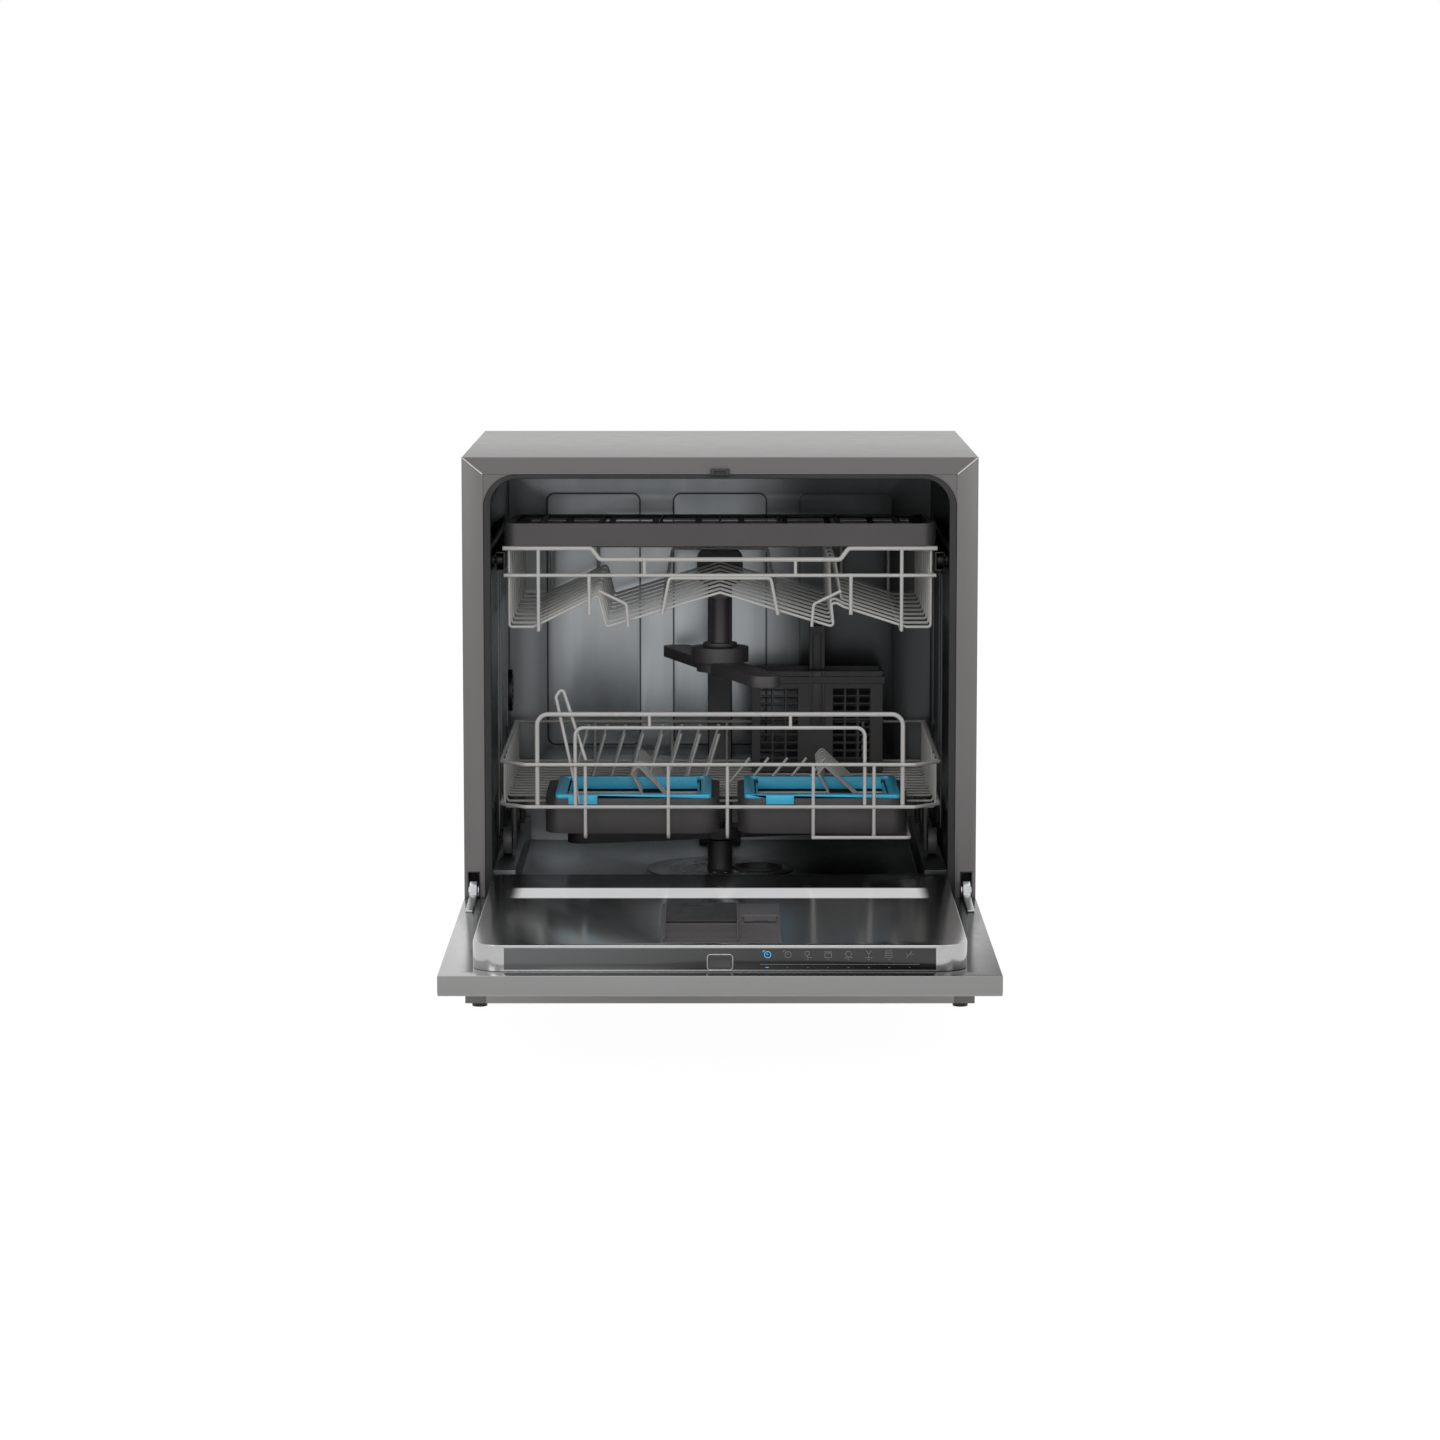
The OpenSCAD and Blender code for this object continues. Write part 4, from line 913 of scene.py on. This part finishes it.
class DISHWASHER_OT_lower_rack(PieceOperator, bpy.types.Operator):
    """Builds the lower rack, its wheels, accessory boxes, collars and cutlery basket."""

    bl_idname = "dishwasher.lower_rack"
    bl_label = "Lower rack"

    def make(self, context):
        bm = bmesh.new()
        half, rim, rail, floor, base = 235.0, 261.3, 215.1, 208.7, 181.5
        front, back = RACK_FRONT, RACK_BACK
        hump = [
            (-half, rim), (-half, floor), (-85.3, floor), (-98, 233), (-91, 242), (-59.6, floor),
            (122.4, floor), (109, 233), (116, 242), (152, floor), (half, floor), (half, rim),
        ]
        flat = [(-half, rim), (-half, floor), (half, floor), (half, rim)]
        rows = [253 - 21.4 * k for k in range(8)]
        for d in rows:
            wire(bm, [(x, pulled(d), z) for x, z in hump], 1.5, 3.0, 10, 4)
        for d in (338.6, 295.8, 81.8, 60.4, 39.0, 17.6):
            wire(bm, [(x, pulled(d), z) for x, z in flat], 1.5, 4.0, 10, 4)
        out = half + 2.9
        for z in (rim, rail):
            wire(
                bm,
                [(-out, back, z), (-out, front + 25.5, z), (-210, front, z), (210, front, z),
                 (out, front + 25.5, z), (out, back, z)],
                2.0, 6.0, 12, 4,
            )
            wire(bm, [(-out - 2, back - 0.6, z), (out + 2, back - 0.6, z)], 1.8)
        leg, inner, clip = front + 3.9, front + 3.4, front + 7.6
        outer_top, inner_top = 315.5, 300.9
        for x, y, foot, top, radius, bend, sides in (
            (197.3, leg, 213.4, outer_top, 2.5, 12, 14),
            (156.3, inner, 213.8, inner_top, 2.0, 9, 12),
        ):
            wire(bm, [(-x, y, foot), (-x, y, top), (x, y, top), (x, y, foot)], radius, bend, sides, 8)
        for x in (-76, 76):
            wire(bm, [(x, inner, inner_top), (x, inner, outer_top)], 1.8)
        for x in (-145.4, -55.8, 8.0, 100.7, 166.3):
            wire(
                bm,
                [(x, front + 0.8, 261.7), (x, front + 0.8, base), (x, pulled(203), base),
                 (x, pulled(190), 205.8), (x, back, 205.8)],
                1.9, 5.0, 12, 4,
            )
            wire(bm, [(x, back - 0.8, rim), (x, back - 0.8, 204.8)], 1.8)
        wire(
            bm,
            [(99, front + 0.8, base), (205, front + 0.8, base), (205, pulled(203), base),
             (205, pulled(190), 206.5)],
            1.9, 5.0, 12, 4,
        )
        for i in range(8):
            x = -168.4 + 21.2 * i
            for d in (rows[2], rows[6]):
                wire(bm, [(x, pulled(d) + 0.7, 207.7), (x + 19, pulled(d) + 0.7, 272)], 1.7)
        for i in range(5):
            x = 3.3 + 21.2 * i
            wire(bm, [(x, pulled(rows[2]) - 0.7, 207.7), (x + 30, pulled(rows[2]) - 0.7, 245)], 1.7)
        wire(bm, [(-152, clip, 218.1), (-177, clip, 334), (-170, clip, 345), (-145, clip, 265.3)], 1.8, 3.0)
        bmesh.ops.recalc_face_normals(bm, faces=bm.faces)
        put("lower_wires", bm, "wire", "lower_rack", ["lower_rack_frame"], 50.0)
        dressed("wheel_plates", ["wheel_brackets"], "plastic", "lower_rack", 0.5, 2)
        dressed("boxes", ["holder_boxes"], "holder", "lower_rack", 0.6, 2)
        dressed("collars", ["holder_collars"], "collar", "lower_rack", 0.6, 2)
        dressed("basket", ["cutlery_basket"], "plastic", "lower_rack", 0.25, 1)
        # The handle's web above the rim, and the strip with two ribs down the basket's front
        bm = bmesh.new()
        box(bm, (106.0, pulled(50.0), 318), (117.6, pulled(46.0), 372), 0.4)
        for x, wide, deep in ((106.4, 10.8, 76.0), (103.2, 2.4, 76.6), (118.0, 2.4, 76.6)):
            box(bm, (x, pulled(deep), 260), (x + wide, pulled(74.6), 327), 0.3)
        put("basket_handle", bm, "plastic", "lower_rack")
        for side in ("left", "right"):
            for end in ("front", "rear"):
                name = "rack_wheel_%s_%s" % (end, side)
                dressed("wheel_%s_%s" % (end, side), [name], "pale", name, 0.6, 2)


class DISHWASHER_PT_panel(bpy.types.Panel):
    """Lists the dishwasher's pieces in the sidebar."""

    bl_label = "Dishwasher"
    bl_idname = "DISHWASHER_PT_panel"
    bl_space_type = "VIEW_3D"
    bl_region_type = "UI"
    bl_category = "Dishwasher"

    def draw(self, context):
        for operator in PIECES:
            self.layout.operator(operator.bl_idname)
        for group in (context.scene.dishwasher_finish, context.scene.dishwasher_studio):
            for key in group.bl_rna.properties.keys():
                if key not in ("rna_type", "name"):
                    self.layout.prop(group, key)


PIECES = (
    DISHWASHER_OT_stage,
    DISHWASHER_OT_cabinet,
    DISHWASHER_OT_tub,
    DISHWASHER_OT_hinges,
    DISHWASHER_OT_water_path,
    DISHWASHER_OT_door,
    DISHWASHER_OT_upper_rack,
    DISHWASHER_OT_lower_rack,
)
CLASSES = (DishwasherFinish, DishwasherStudio, *PIECES, DISHWASHER_PT_panel)


def register():
    for cls in CLASSES:
        bpy.utils.register_class(cls)
    bpy.types.Scene.dishwasher_finish = bpy.props.PointerProperty(type=DishwasherFinish)
    bpy.types.Scene.dishwasher_studio = bpy.props.PointerProperty(type=DishwasherStudio)


def unregister():
    del bpy.types.Scene.dishwasher_studio
    del bpy.types.Scene.dishwasher_finish
    for cls in reversed(CLASSES):
        bpy.utils.unregister_class(cls)


def main():
    register()
    for operator in PIECES:
        group, name = operator.bl_idname.split(".")
        getattr(getattr(bpy.ops, group), name)()


if __name__ == "__main__":
    main()
